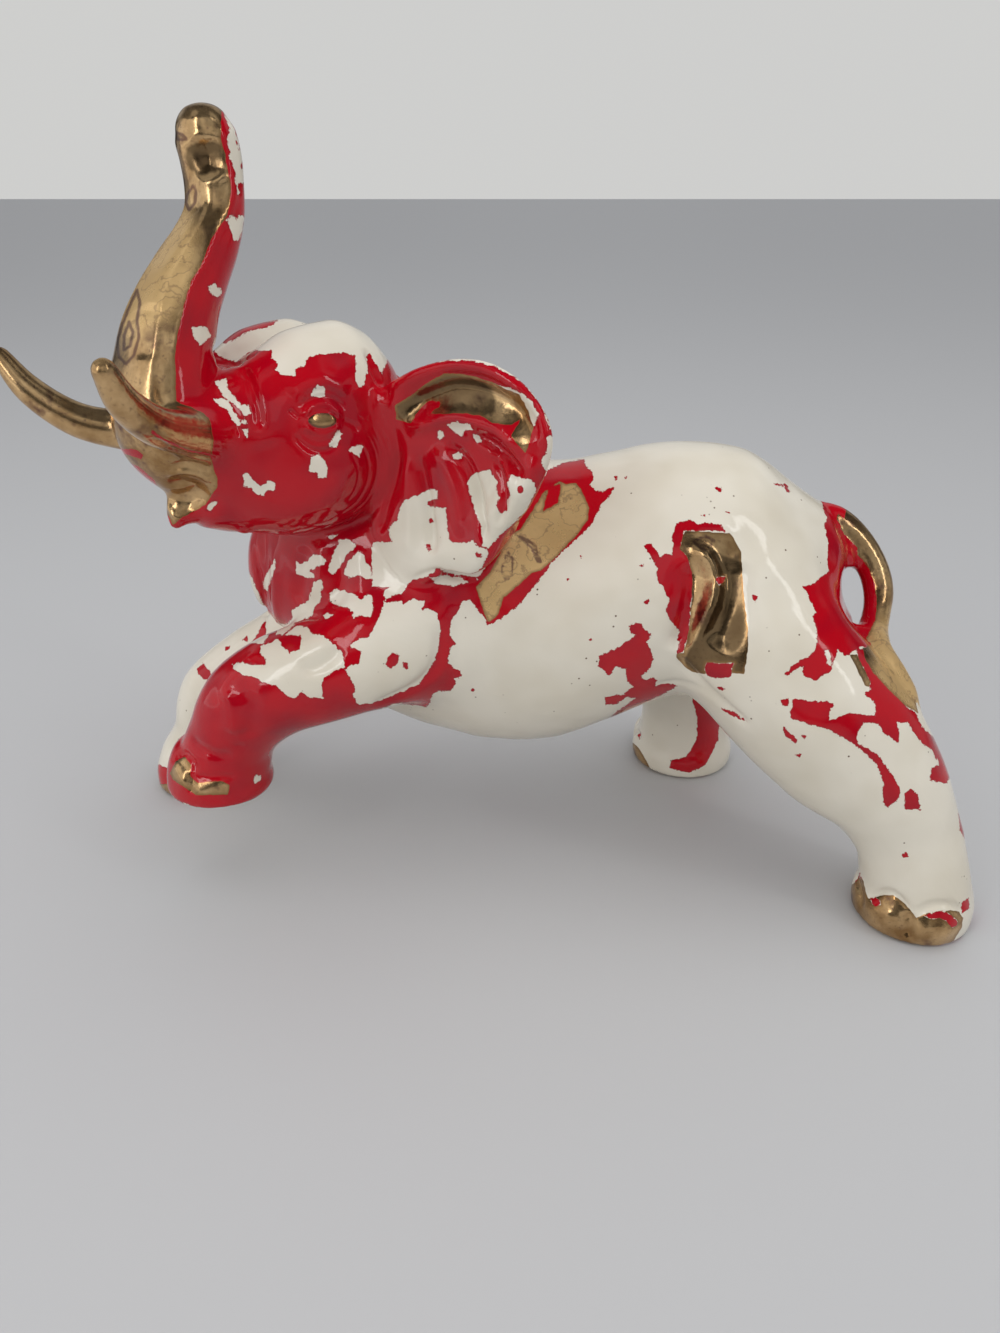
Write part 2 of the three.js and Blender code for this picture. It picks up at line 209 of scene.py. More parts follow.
# Lofted pieces
def curve_through(points, times):
    """Centripetal Catmull-Rom curve at times from 0 to 1."""
    points = np.asarray(points, float)
    last = len(points) - 1
    place = np.clip(times, 0, 1) * last
    index = np.minimum(place.astype(int), last - 1)
    share = (place - index)[:, None]
    padded = np.vstack([2 * points[0] - points[1], points, 2 * points[-1] - points[-2]])
    before, here, after, beyond = (padded[index + step] for step in range(4))

    def span(a, b):
        return np.sum((b - a) ** 2, axis=1, keepdims=True) ** 0.25

    middle = span(here, after)
    middle = np.where(middle < 1e-4, 1.0, middle)
    first = span(before, here)
    first = np.where(first < 1e-4, middle, first)
    third = span(after, beyond)
    third = np.where(third < 1e-4, middle, third)
    leave = middle * ((here - before) / first - (after - before) / (first + middle)
                      + (after - here) / middle)
    reach = middle * ((after - here) / middle - (beyond - here) / (middle + third)
                      + (beyond - after) / third)
    rise = after - here
    return (here + leave * share + (3 * rise - 2 * leave - reach) * share ** 2
            + (leave + reach - 2 * rise) * share ** 3)


def loft(stations, across, around=72, along=120, start=0.6, finish=0.6, sole=None, facing=None,
         groove=0.0, corner=2.0):
    """A closed skin through stations, as vertices and triangles.

    across is the direction of its width, around and along are counts of facets. start and
    finish are the lengths of its rounded ends, as shares of the radius there. A sole, the
    height of a flat end, takes the place of the finish. facing is one direction for all the
    sections, groove the depth of a valley along the top, and corner their squareness.
    """
    stations = np.asarray(stations, float)
    cap = np.linspace(0, math.pi / 2, 10)[1:-1]
    small = stations[:, 3:5].min(axis=1)
    times = np.linspace(0, 1, along + 1)
    rows = [(0.0, -start * small[0] * math.cos(a), math.sin(a), 0.0) for a in cap]
    rows += [(t, 0.0, 1.0, 0.0) for t in times]
    if sole is None:
        rows += [(1.0, finish * small[-1] * math.cos(a), math.sin(a), 0.0) for a in cap[::-1]]
        reach = finish * small[-1]
    else:
        reach = stations[-1][2] - sole
        rows += [(1.0, reach * math.sin(a), 1.0, SOLE_EDGE * (1 - math.cos(a)))
                 for a in list(cap) + [math.pi / 2]]
    rows = [(0.0, -start * small[0], 0.0, 0.0)] + rows + [(1.0, reach, 0.0, 0.0)]
    t, advance, scale, inset = (np.array(column)[:, None] for column in zip(*rows))
    flat = t[:, 0]
    centre = curve_through(stations[:, :3], flat)
    size = curve_through(stations[:, 3:5], flat)
    if facing is None:
        ahead = unit(curve_through(stations[:, :3], np.minimum(flat + 1e-4, 1))
                     - curve_through(stations[:, :3], np.maximum(flat - 1e-4, 0)))
    else:
        ahead = np.repeat(facing[None], len(flat), axis=0)
    if sole is not None:
        ahead[flat == 1] = (0, 0, -1)
    side = unit(across - ahead * (ahead @ across)[:, None])
    up = np.cross(ahead, side)
    angle = np.arange(around) * 2 * math.pi / around
    top = (angle - math.pi / 2) / DOME_GROOVE_WIDTH
    shape = ((1 - groove * np.exp(-top ** 2))
             / (abs(np.cos(angle)) ** corner + abs(np.sin(angle)) ** corner) ** (1 / corner))
    middle = centre + ahead * advance
    reach_side = (size[:, :1] - inset) * scale * shape * np.cos(angle)
    reach_up = (size[:, 1:] - inset) * scale * shape * np.sin(angle)
    rings = (middle[:, None] + side[:, None] * reach_side[..., None]
             + up[:, None] * reach_up[..., None])
    return rings.reshape(-1, 3), ring_faces(len(rows), around)


def ring_faces(rows, around):
    """Triangles between rings of points."""
    row, column = np.meshgrid(np.arange(rows - 1), np.arange(around), indexing="ij")
    row, column = row.ravel(), column.ravel()
    following = (column + 1) % around
    a, b = row * around + column, row * around + following
    c, d = a + around, b + around
    return np.vstack([np.stack([a, b, c], 1), np.stack([b, d, c], 1)])


def ear(side, sweep):
    """The padded flap of an ear: its outline shrunk toward its middle, with a front and a back."""
    outline = np.array(EAR_OUTLINE, float)
    count = len(outline)
    looped = np.vstack([outline[-2:], outline, outline[:3]])
    times = (np.arange(EAR_FACETS) / EAR_FACETS * count + 2) / (count + 4)
    rim = curve_through(looped, times)
    middle = np.array(EAR_MIDDLE, float)
    shares = np.sin(np.linspace(0, math.pi / 2, 40))
    points = []
    for front, order in ((True, shares), (False, shares[::-1][1:])):
        for share in order:
            place = middle + (rim - middle) * share
            edge = math.sqrt(max(0.0, 1 - share ** 8))
            backing = EAR_BACKING * smoothstep(2, 26, -place[:, 1])
            dish = EAR_DISH * (1 - smoothstep(0.45, 0.85, share))
            thick = EAR_RIM - dish if front else -EAR_RIM - dish - backing * (1 - share ** 6)
            forward = -3 - sweep * (place[:, 0] - 30) + thick * edge
            points.append(np.stack([forward, side * place[:, 0], place[:, 1]], 1))
    points = np.concatenate(points)
    return HEAD_CENTRE + points @ HEAD_AXES, ring_faces(len(points) // EAR_FACETS, EAR_FACETS)


# Clay: distances to each piece on one grid
def cell_corners(share):
    """The eight corners of a cell, each with its weight at a place inside the cell."""
    for i in (0, 1):
        for j in (0, 1):
            for k in (0, 1):
                yield i, j, k, ((share[:, 0] if i else 1 - share[:, 0])
                                * (share[:, 1] if j else 1 - share[:, 1])
                                * (share[:, 2] if k else 1 - share[:, 2]))


class Clay:
    """Distances to a skin, in a box of the grid."""

    def __init__(self, low, values):
        self.low = np.asarray(low, int)
        self.values = values

    def at(self, points):
        """Distances at points, between the grid's by straight interpolation."""
        place = points / GRAIN - self.low
        top = np.array(self.values.shape) - 2
        inside = np.all((place >= 0) & (place <= top + 1), axis=1)
        place = np.clip(place, 0, top + 0.999)
        base = np.minimum(place.astype(int), top)
        share = place - base
        flat = self.values.ravel()
        across = self.values.shape[2]
        plane = self.values.shape[1] * across
        index = base[:, 0] * plane + base[:, 1] * across + base[:, 2]
        total = 0
        for i, j, k, weight in cell_corners(share):
            total = total + weight * flat[index + i * plane + j * across + k]
        return np.where(inside, total, BAND)


def knead(skin):
    """Clay of a closed skin."""
    points, triangles = skin
    grid = openvdb.FloatGrid.createLevelSetFromPolygons(
        points.astype(np.float32), triangles=triangles.astype(np.uint32),
        transform=openvdb.createLinearTransform(GRAIN), halfWidth=BAND / GRAIN)
    low = np.floor((points.min(axis=0) - BAND) / GRAIN).astype(int)
    high = np.ceil((points.max(axis=0) + BAND) / GRAIN).astype(int)
    values = np.full(high - low + 1, BAND, np.float32)
    grid.copyToArray(values, ijk=tuple(int(i) for i in low))
    return Clay(low, values)


def fillet(first, second, softness):
    """Depth of the slip that rounds the corner between two surfaces."""
    share = np.maximum(softness - np.abs(first - second), 0) / softness
    return share ** 3 * softness / 6


def lute(body, piece, softness):
    """Joins a piece to the body with a fillet of slip."""
    start = piece.low - body.low
    window = tuple(slice(a, a + n) for a, n in zip(start, piece.values.shape))
    there, new = body.values[window], piece.values
    body.values[window] = np.minimum(there, new) - fillet(there, new, softness)


def empty_clay(pieces):
    """A box of the grid that holds these pieces, with no clay in it yet."""
    low = np.min([piece.low for piece in pieces], axis=0)
    high = np.max([piece.low + piece.values.shape for piece in pieces], axis=0)
    return Clay(low, np.full(high - low, BAND, np.float32))


def leg_loft(stations, sole):
    return loft(stations, ACROSS_BODY, start=0.7, sole=sole)


def cast():
    """Every piece of the casting as clay, under its name."""
    skins = {
        "torso": loft(TORSO, ACROSS_BODY, start=0.55, finish=0.4, facing=np.array([1.0, 0, 0]),
                      around=120, along=160),
        "head": loft(in_head(SKULL), ACROSS_HEAD, start=0.6, finish=0.45, facing=HEAD_AXES[0],
                     groove=DOME_GROOVE, corner=SKULL_CORNER, around=120),
        "lower_jaw": loft(in_head(LOWER_JAW), ACROSS_HEAD, start=0.5, finish=0.8),
        "trunk": loft(in_head(TRUNK), ACROSS_HEAD, start=0.6, finish=0.75),
        "tusk_left": loft(in_head(NEAR_TUSK), ACROSS_HEAD, start=0.6, finish=0.9, around=48),
        "tusk_right": loft(in_head(TUSK, -1), ACROSS_HEAD, start=0.6, finish=0.9, around=48),
        "ear_left": ear(1, EAR_SWEEP),
        "ear_right": ear(-1, FAR_EAR_SWEEP),
        "foreleg_left": leg_loft(FORELEG_LEFT, LIFT),
        "foreleg_right": leg_loft(FORELEG_RIGHT, 0),
        "hind_leg_left": leg_loft(HIND_LEG_LEFT, 0),
        "hind_leg_right": leg_loft(HIND_LEG_RIGHT, 0),
        "tail": loft(TAIL, ACROSS_BODY, start=0.6, finish=0.8, around=40),
    }
    return {name: knead(skin) for name, skin in skins.items()}


# The skin that the slip leaves over all the pieces
def edges_of(triangles):
    """The three edges of every triangle: all first edges, then all second and all third ones."""
    return np.concatenate([triangles[:, [0, 1]], triangles[:, [1, 2]], triangles[:, [2, 0]]])


def corners_of(points, triangles):
    """The points at the three corners of every triangle."""
    return (points[triangles[:, k]] for k in range(3))


class Skin:
    """A triangle skin with tools that press and raise it."""

    def __init__(self, points, triangles):
        self.points = points
        self.triangles = triangles
        self.link()

    def link(self):
        """Neighbours of every vertex."""
        pairs = edges_of(self.triangles)
        pairs = np.concatenate([pairs, pairs[:, ::-1]])
        keys = np.unique(pairs[:, 0].astype(np.int64) * len(self.points) + pairs[:, 1])
        self.source, self.target = keys // len(self.points), keys % len(self.points)
        self.starts = np.searchsorted(self.source, np.arange(len(self.points)))
        self.degree = np.bincount(self.source, minlength=len(self.points))

    def mean_around(self, values):
        """Mean of the neighbours' values."""
        total = np.add.reduceat(values[self.target], self.starts, axis=0)
        return total / (self.degree[:, None] if values.ndim == 2 else self.degree)

    def normals(self):
        a, b, c = corners_of(self.points, self.triangles)
        cross = np.cross(b - a, c - a)
        total = np.stack([sum(np.bincount(self.triangles[:, k], cross[:, axis], len(self.points))
                              for k in range(3)) for axis in range(3)], 1)
        return unit(total)

    def sponge(self, rounds, amount=None):
        """Evens out the skin without shrinking it, as a wet sponge does."""
        weight = 1.0 if amount is None else amount[:, None]
        for _ in range(rounds):
            for pull in (0.5, -0.52):
                self.points = self.points + weight * pull * (self.mean_around(self.points)
                                                            - self.points)

    def tree(self):
        return BVHTree.FromPolygons([Vector(p) for p in self.points.tolist()],
                                    self.triangles.tolist())

    def refine(self, chosen):
        """Splits the edges whose two ends are chosen."""
        mesh = bpy.data.meshes.new("clay")
        mesh.from_pydata(self.points.tolist(), [], self.triangles.tolist())
        work = bmesh.new()
        work.from_mesh(mesh)
        work.verts.ensure_lookup_table()
        edges = [e for e in work.edges if chosen[e.verts[0].index] and chosen[e.verts[1].index]]
        bmesh.ops.subdivide_edges(work, edges=edges, cuts=1, use_grid_fill=True)
        bmesh.ops.triangulate(work, faces=[f for f in work.faces if len(f.verts) > 3])
        work.to_mesh(mesh)
        work.free()
        points = np.empty(len(mesh.vertices) * 3)
        mesh.vertices.foreach_get("co", points)
        corners = np.empty(len(mesh.loops), np.int32)
        mesh.loops.foreach_get("vertex_index", corners)
        bpy.data.meshes.remove(mesh)
        self.points = points.reshape(-1, 3)
        self.triangles = corners.reshape(-1, 3)
        self.link()


def slip_skin(clay):
    """The skin of the clay, with its vertices on the surface."""
    values = clay.values
    for axis in range(3):
        values = (np.roll(values, 1, axis) + 2 * values + np.roll(values, -1, axis)) / 4
    grid = openvdb.FloatGrid(BAND)
    grid.copyFromArray(values, ijk=tuple(int(i) for i in clay.low))
    grid.transform = openvdb.createLinearTransform(GRAIN)
    points, quads = grid.convertToQuads(isovalue=0.0)
    quads = quads.astype(np.int64)
    triangles = np.vstack([quads[:, [0, 1, 2]], quads[:, [0, 2, 3]]])
    points = points.astype(float)
    a, b, c = corners_of(points, triangles)
    if np.einsum("ij,ij->i", a, np.cross(b, c)).sum() < 0:
        triangles = triangles[:, ::-1]
    return Skin(points, triangles), Clay(clay.low, values)


def settle(skin, clay, rounds=2):
    """Moves the vertices onto the clay's surface."""
    for _ in range(rounds):
        step = 0.5 * GRAIN
        gradient = np.stack([clay.at(skin.points + step * axis) - clay.at(skin.points - step * axis)
                             for axis in np.eye(3)], 1) / (2 * step)
        height = clay.at(skin.points)
        skin.points = skin.points - gradient * (height / np.maximum(
            (gradient ** 2).sum(axis=1), 0.2))[:, None]


def cast_body(pieces):
    """All pieces luted together."""
    body = empty_clay(pieces.values())
    head = empty_clay([pieces[name] for name, _ in HEAD_FILLETS])
    for whole, fillets in ((body, BODY_FILLETS), (head, HEAD_FILLETS)):
        for name, softness in fillets:
            lute(whole, pieces[name], softness)
    lute(body, head, NECK_FILLET)
    for name, softness in LAST_FILLETS:
        lute(body, pieces[name], softness)
    web = loft(TAIL_WEB, ACROSS_BODY, start=0.8, finish=0.8, around=24)
    lute(body, knead(web), WEB_FILLET)
    return body


# Pictures to points: what the eye of the photograph sees
PITCH_SIN, PITCH_COS = math.sin(CAMERA_PITCH), math.cos(CAMERA_PITCH)


def seen_at(points):
    """Pixels of the photograph at which points are seen, and their depth."""
    offset = points - CAMERA
    depth = offset[:, 1] * PITCH_COS - offset[:, 2] * PITCH_SIN
    down = -offset[:, 2] * PITCH_COS - offset[:, 1] * PITCH_SIN
    pixels = np.stack([CENTRE[0] + LENS * offset[:, 0] / depth,
                       CENTRE[1] + LENS * down / depth], 1)
    return pixels, depth


def sight(pixel):
    """Direction from the camera through a pixel."""
    across = (pixel[0] - CENTRE[0]) / LENS
    down = (pixel[1] - CENTRE[1]) / LENS
    return Vector((across, PITCH_COS - down * PITCH_SIN,
                   -PITCH_SIN - down * PITCH_COS)).normalized()


def facing_eye(points, normals):
    """How far surfaces face the camera: 1 straight at it, less than 0 away from it."""
    return (unit(CAMERA - points) * normals).sum(axis=1)


def mirror_head(points):
    """Points on the other side of the head."""
    local = to_head(points)
    local[:, 1] *= -1
    return HEAD_CENTRE + local @ HEAD_AXES


def mirror_body(points):
    """Points on the other side of the body."""
    return points * np.array([1.0, -1.0, 1.0])


class Hand:
    """Places strokes on a skin, as seen in the photograph or mirrored to the far side."""

    def __init__(self, skin):
        self.skin = skin
        self.tree = skin.tree()

    def find(self, pixels, spacing=3.0):
        """Points of the skin under a smooth line through pixels."""
        pixels = np.asarray(pixels, float)
        if len(pixels) > 1:
            length = np.linalg.norm(np.diff(pixels, axis=0), axis=1).sum()
            pixels = curve_through(pixels, np.linspace(0, 1, max(3, int(length / spacing))))
        hits = []
        for pixel in pixels:
            hit = self.tree.ray_cast(Vector(CAMERA), sight(pixel))[0]
            if hit is not None:
                hits.append(hit)
        return np.array(hits)

    def snap(self, points):
        return np.array([self.tree.find_nearest(Vector(p))[0] for p in points])

    def spread(self, pixels, mirror=None):
        """The found line, and its mirror image on the far side."""
        line = self.find(pixels)
        return [line] if mirror is None else [line, self.snap(mirror(line))]


def line_distance(points, line):
    """Distance of points to a line, and the share of its length at the nearest place."""
    if len(line) == 1:
        return np.linalg.norm(points - line[0], axis=1), np.full(len(points), 0.5)
    best = np.full(len(points), np.inf)
    share = np.zeros(len(points))
    steps = np.linalg.norm(np.diff(line, axis=0), axis=1)
    travelled = np.concatenate([[0], np.cumsum(steps)]) / max(steps.sum(), 1e-9)
    for k in range(len(line) - 1):
        along = line[k + 1] - line[k]
        t = np.clip((points - line[k]) @ along / max(along @ along, 1e-9), 0, 1)
        far = np.linalg.norm(points - (line[k] + t[:, None] * along), axis=1)
        closer = far < best
        best[closer] = far[closer]
        share[closer] = (travelled[k] + t * (travelled[k + 1] - travelled[k]))[closer]
    return best, share


STROKE_TAPER = 0.2  # share of a long stroke over which each end runs out


def press(skin, line, width, depth):
    """Presses a groove of this width and depth along a line, or raises a ridge."""
    low, high = line.min(axis=0) - 3 * width, line.max(axis=0) + 3 * width
    near = np.flatnonzero(np.all((skin.points > low) & (skin.points < high), axis=1))
    far, share = line_distance(skin.points[near], line)
    amount = depth * np.exp(-(far / width) ** 2)
    length = np.linalg.norm(np.diff(line, axis=0), axis=1).sum()
    if length > 4 * width:
        amount = amount * smoothstep(0, STROKE_TAPER, np.minimum(share, 1 - share) + 0.03)
    skin.points[near] -= skin.outward[near] * amount[:, None]


# Strokes of the modelling tool: pixels of the photograph, width and depth in millimetres
EYE_STROKES = [
    ([(322, 418)], 7.0, 1.5),  # socket
    ([(290, 397), (305, 385), (328, 380), (350, 391)], 3.2, -0.8),  # brow
    ([(314, 421), (331, 420)], 2.5, -1.7),  # eyeball
    ([(303, 417), (309, 409), (318, 405), (329, 405), (337, 410), (342, 418)], 0.9, -1.2),
    ([(299, 408), (309, 400), (322, 396), (336, 399), (347, 409)], 0.9, 0.9),
    ([(304, 397), (317, 390), (333, 391), (348, 401)], 0.8, 0.45),
    ([(307, 419), (313, 413.5), (322, 411.5), (332, 412.5), (339, 419)], 0.4, 0.6),
    ([(307, 423), (314, 428), (322, 429.5), (331, 428), (338, 422)], 0.4, 0.5),
    ([(303, 424), (312, 432), (322, 434.5), (333, 432), (341, 424)], 0.8, -0.9),
    ([(299, 429), (308, 439), (320, 443), (333, 439), (342, 431)], 0.7, 0.6),
    ([(295, 433), (304, 444), (316, 451), (330, 450), (341, 442)], 1.0, 0.8),
    ([(289, 409), (295, 414), (301, 419)], 0.7, 0.6),
    ([(343, 420), (352, 424), (360, 430)], 0.8, 0.4),
]
HEAD_STROKES = [
    ([(241, 366), (249, 380), (254, 398), (258, 412), (259, 432)], 1.4, 1.1),  # temple
    ([(219, 392), (231, 406), (238, 422), (240, 438)], 1.3, 0.6),
    ([(378, 424), (388, 450), (388, 480), (377, 506), (356, 528)], 0.5, 0.38),
    ([(374, 428), (384, 455), (383, 482), (372, 505), (352, 524)], 0.5, 0.36),
    ([(370, 430), (380, 455), (379, 480), (369, 503), (349, 521)], 0.45, 0.33),
    ([(366, 432), (376, 455), (376, 478), (366, 500), (347, 517)], 0.45, 0.30),
    ([(358, 440), (367, 458), (368, 478), (358, 500), (338, 516)], 0.45, 0.26),
    ([(350, 452), (357, 470), (356, 486), (347, 502)], 0.4, 0.2),
    ([(393, 425), (397, 450), (392, 478), (380, 502), (360, 522), (332, 533)], 1.6, 0.9),
    ([(366, 348), (373, 366), (379, 380), (385, 392), (385, 404)], 1.6, 1.1),
    ([(150, 437), (172, 449), (192, 456), (212, 459)], 1.0, 0.7),  # under the near tusk
    ([(168, 471), (185, 464), (200, 466), (213, 474)], 1.4, 0.7),  # palate
    ([(210, 345), (222, 356), (236, 362), (246, 366)], 1.6, 0.9),
    ([(300, 505), (330, 495), (350, 470)], 5.0, -0.8),  # cheek
    ([(262, 440), (270, 470), (262, 500)], 4.0, 0.5),
]
DOME_STROKES = [
    ([(217, 350), (236, 351), (258, 340), (280, 330), (300, 324), (318, 321)], 3.5, 1.6),
    ([(182, 487), (194, 492), (187, 503)], 3.6, 2.2),  # bowl of the lower lip
    ([(168, 480), (174, 475), (185, 472), (199, 475), (214, 484)], 0.9, -0.6),
    ([(216, 486), (211, 496), (203, 505), (190, 513), (178, 518), (171, 511), (167, 496)],
     0.9, -0.6),
]
TRUNK_STROKES = [
    ([(221, 112), (221, 126), (226, 150), (231, 181), (230, 202), (220, 222), (211, 244),
      (202, 264), (191, 282), (184, 306), (177, 337), (175, 370)], 1.7, -0.8),
]
TRUNK_DENTS = [
    ([(205, 156)], 4.6, 2.8),
    ([(187, 172), (199, 179), (213, 179), (227, 171)], 1.3, -0.9),
    ([(183, 134), (195, 138), (208, 139), (221, 137)], 1.2, -0.6),
    ([(190, 193), (191, 204)], 1.8, 0.7),
    ([(130, 302), (124, 320), (122, 338)], 2.0, 0.9),
    ([(172, 129), (184, 134)], 1.2, 0.5),
    ([(203, 226), (190, 250), (170, 285)], 2.5, 0.5),
    ([(150, 300), (142, 330), (140, 360)], 3.0, 0.6),
]
EAR_STROKES = [
    ([(400, 415), (415, 405), (432, 397), (452, 391), (475, 393), (497, 401), (515, 413),
      (526, 428), (530, 443)], 3.8, 3.2),  # channel under the rim
    ([(386, 390), (405, 380), (423, 372), (447, 366), (465, 366), (484, 369), (503, 378),
      (520, 391), (533, 408), (543, 426), (547, 445), (545, 462)], 1.8, -1.2),  # rolled rim
    ([(401, 400), (414, 390), (430, 381), (447, 375), (465, 375), (482, 378), (500, 386),
      (515, 397), (528, 413), (536, 430), (539, 448)], 0.8, 0.8),
    ([(404, 428), (425, 422), (450, 417), (478, 421), (500, 430), (514, 444), (522, 458)],
     2.4, -1.8),
    ([(471, 433), (490, 443), (508, 459), (524, 481)], 1.5, 1.7),
    ([(462, 430), (480, 440), (497, 455), (509, 474), (511, 500)], 1.8, -0.9),
    ([(446, 443), (464, 460), (475, 484), (481, 517), (484, 545)], 1.6, 1.8),
    ([(430, 448), (446, 470), (457, 500), (462, 540)], 2.6, -0.9),
    ([(417, 455), (424, 485), (430, 520), (433, 556)], 1.8, 1.5),
    ([(405, 455), (408, 490), (410, 525), (408, 560)], 2.4, -0.8),
    ([(399, 450), (394, 480), (386, 506), (378, 534)], 1.7, 1.6),
    ([(494, 450), (503, 478), (504, 505), (497, 528)], 1.5, 1.2),
    ([(536, 455), (528, 480), (512, 505), (497, 530)], 1.8, -0.8),
    ([(474, 575), (458, 577), (440, 571), (425, 574), (411, 580)], 1.0, 0.8),
]
BODY_STROKES = [
    ([(688, 560), (693, 582), (690, 605), (683, 633), (674, 652)], 3.4, 2.4),  # flank hollow
    ([(686, 547), (700, 552), (710, 564), (716, 580), (714, 598), (707, 615), (698, 632),
      (687, 648), (679, 658)], 2.0, -2.6),  # flank fold
    ([(731, 560), (733, 590), (722, 625), (708, 645)], 5.0, 1.8),
    ([(700, 528), (726, 528)], 2.5, -0.5),
    ([(676, 655), (692, 672), (712, 692), (735, 713), (752, 728)], 1.6, 1.1),
    ([(655, 684), (680, 682), (700, 688), (716, 700)], 1.2, 0.5),
    ([(798, 678), (806, 692)], 7.0, 0.9),
    ([(512, 535), (524, 538), (533, 544), (536, 555), (541, 565)], 0.5, 0.4),  # crack
]
PANEL_STROKES = [
    ([(724, 545), (727, 580), (727, 620), (722, 655)], 4.0, 0.8),  # right half of the gold panel
    ([(697, 545), (708, 575), (713, 605), (704, 640)], 2.5, -0.5),
]
SHOULDER_STROKES = [
    ([(438, 622), (441, 645), (436, 665), (422, 682), (398, 696), (372, 706)], 2.2, 1.4),
    ([(456, 605), (457, 636), (453, 665), (446, 690)], 2.6, 0.8),
    ([(284, 634), (296, 623), (309, 618), (322, 618)], 1.0, 0.8),
    ([(253, 536), (256, 560), (261, 585), (265, 608), (268, 632)], 1.3, 1.1),
    ([(244, 530), (246, 556), (249, 580), (256, 602)], 2.0, -0.9),
    ([(272, 545), (275, 570), (276, 600), (279, 622)], 2.6, -1.1),
    ([(302, 545), (303, 575), (297, 603)], 2.8, 0.9),
    ([(318, 540), (320, 570), (312, 600)], 2.4, -0.7),
    ([(338, 545), (341, 580), (334, 610)], 2.6, 0.9),
    ([(360, 545), (362, 580), (352, 612)], 3.0, -0.8),
    ([(298, 668), (315, 668), (330, 658), (340, 646)], 2.0, 1.1),
    ([(306, 648), (322, 645)], 3.0, -0.6),
    ([(262, 652), (246, 664), (231, 680), (222, 700)], 2.6, -0.9),
    ([(190, 740), (203, 750), (216, 756), (234, 755)], 1.8, 0.9),  # ankle of the raised foot
    ([(228, 690), (231, 712), (233, 735)], 2.6, -0.9),
    ([(247, 690), (252, 712), (250, 738)], 2.2, 0.6),
    ([(255, 705)], 1.5, 0.5), ([(245, 735)], 1.4, 0.5), ([(239, 747)], 1.2, 0.5),
]
TOE_STROKES = {
    "hind_leg_left": [
        ([(878, 912), (886, 914)], 4.2, -1.5),
        ([(930, 928), (942, 928)], 4.4, -1.5),
        ([(868, 901), (880, 893), (893, 893), (903, 901), (911, 912)], 1.0, 1.0),
        ([(914, 916), (924, 908), (938, 904), (952, 905), (965, 911)], 1.0, 1.0),
        ([(908, 912), (909, 924), (906, 938)], 1.5, 1.5),
        ([(857, 877), (861, 893), (863, 910)], 1.2, 0.9),
    ],
    "foreleg_left": [
        ([(181, 768), (185, 778)], 2.8, -1.1),
        ([(203, 790), (220, 790)], 2.8, -1.0),
        ([(172, 762), (183, 753), (193, 762), (196, 775)], 0.9, 0.9),
        ([(196, 777), (208, 778), (222, 777), (236, 778)], 0.9, 0.8),
        ([(192, 778), (191, 790)], 1.0, 0.9),
    ],
}


TRUNK_HOLLOW = 2.6  # depth of the hollow along the front of the trunk
# Unevenness of the cast body: depth, size of its lumps, seed
UNEVEN = ((0.30, 15, 21), (0.14, 6.5, 22))


def flatten_trunk_face(skin, names, piece):
    """Hollows the front of the raised trunk, which is its underside."""
    chosen = np.flatnonzero(piece == names.index("trunk"))
    stations = in_head(TRUNK)
    last = 159
    times = np.linspace(0, 1, last + 1)
    path = curve_through(stations[:, :3], times)
    size = curve_through(stations[:, 3:5], times)
    far, share = line_distance(skin.points[chosen], path)
    nearest = np.clip((share * last).round().astype(int), 0, last)
    ahead = unit(np.gradient(path, axis=0))[nearest]
    side = unit(ACROSS_HEAD - ahead * (ahead @ ACROSS_HEAD)[:, None])
    up = np.cross(ahead, side)
    offset = skin.points[chosen] - path[nearest]
    across = (offset * side).sum(1) / size[nearest, 0]
    back = (offset * up).sum(1) / size[nearest, 1]
    amount = (TRUNK_HOLLOW * smoothstep(0.2, 0.75, -back) * (1 - np.clip(across / 0.9, -1, 1) ** 2)
              * smoothstep(0.24, 0.42, share) * (1 - 0.6 * smoothstep(0.72, 0.92, share)))
    skin.points[chosen] += up * amount[:, None]


def model(skin, names, piece):
    """Works the folds, the eyes, the ears and the toes into the skin."""
    hand = Hand(skin)
    plan = []  # every stroke as its line on the skin, width and depth
    for strokes, mirror in ((EYE_STROKES, mirror_head), (HEAD_STROKES, mirror_head),
                            (EAR_STROKES, mirror_head), (TRUNK_STROKES, mirror_head),
                            (DOME_STROKES, None),
                            (TRUNK_DENTS, None), (BODY_STROKES, mirror_body),
                            (PANEL_STROKES, None), (SHOULDER_STROKES, None)):
        for pixels, width, depth in strokes:
            for line in hand.spread(pixels, mirror):
                plan.append((line, width, depth))
    feet = {"hind_leg_left": (HIND_LEG_LEFT, HIND_LEG_RIGHT),
            "foreleg_left": (FORELEG_LEFT, FORELEG_RIGHT)}
    for foot, strokes in TOE_STROKES.items():
        near_sole, far_sole = (stations[-1][:3] for stations in feet[foot])
        for pixels, width, depth in strokes:
            line = hand.find(pixels)
            plan.append((line, width, depth))
            local = (line - near_sole) * (1, -1, 1)
            plan.append((hand.snap(np.array(far_sole) + local), width, depth))
    flatten_trunk_face(skin, names, piece)
    skin.outward = skin.normals()
    on_body = ~belongs(piece, names, HEAD + EARS)
    uneven = sum(depth * lumps(skin.points, size, seed) for depth, size, seed in UNEVEN)
    lifted = smoothstep(1, 8, skin.points[:, 2]) * on_body
    skin.points += skin.outward * (uneven * lifted)[:, None]
    for line, width, depth in plan:
        if len(line):
            press(skin, line, width, depth)
    heal(skin)


FOLD_LIMIT = 0.3  # cosine between a triangle and the skin round it, below which it is a fold


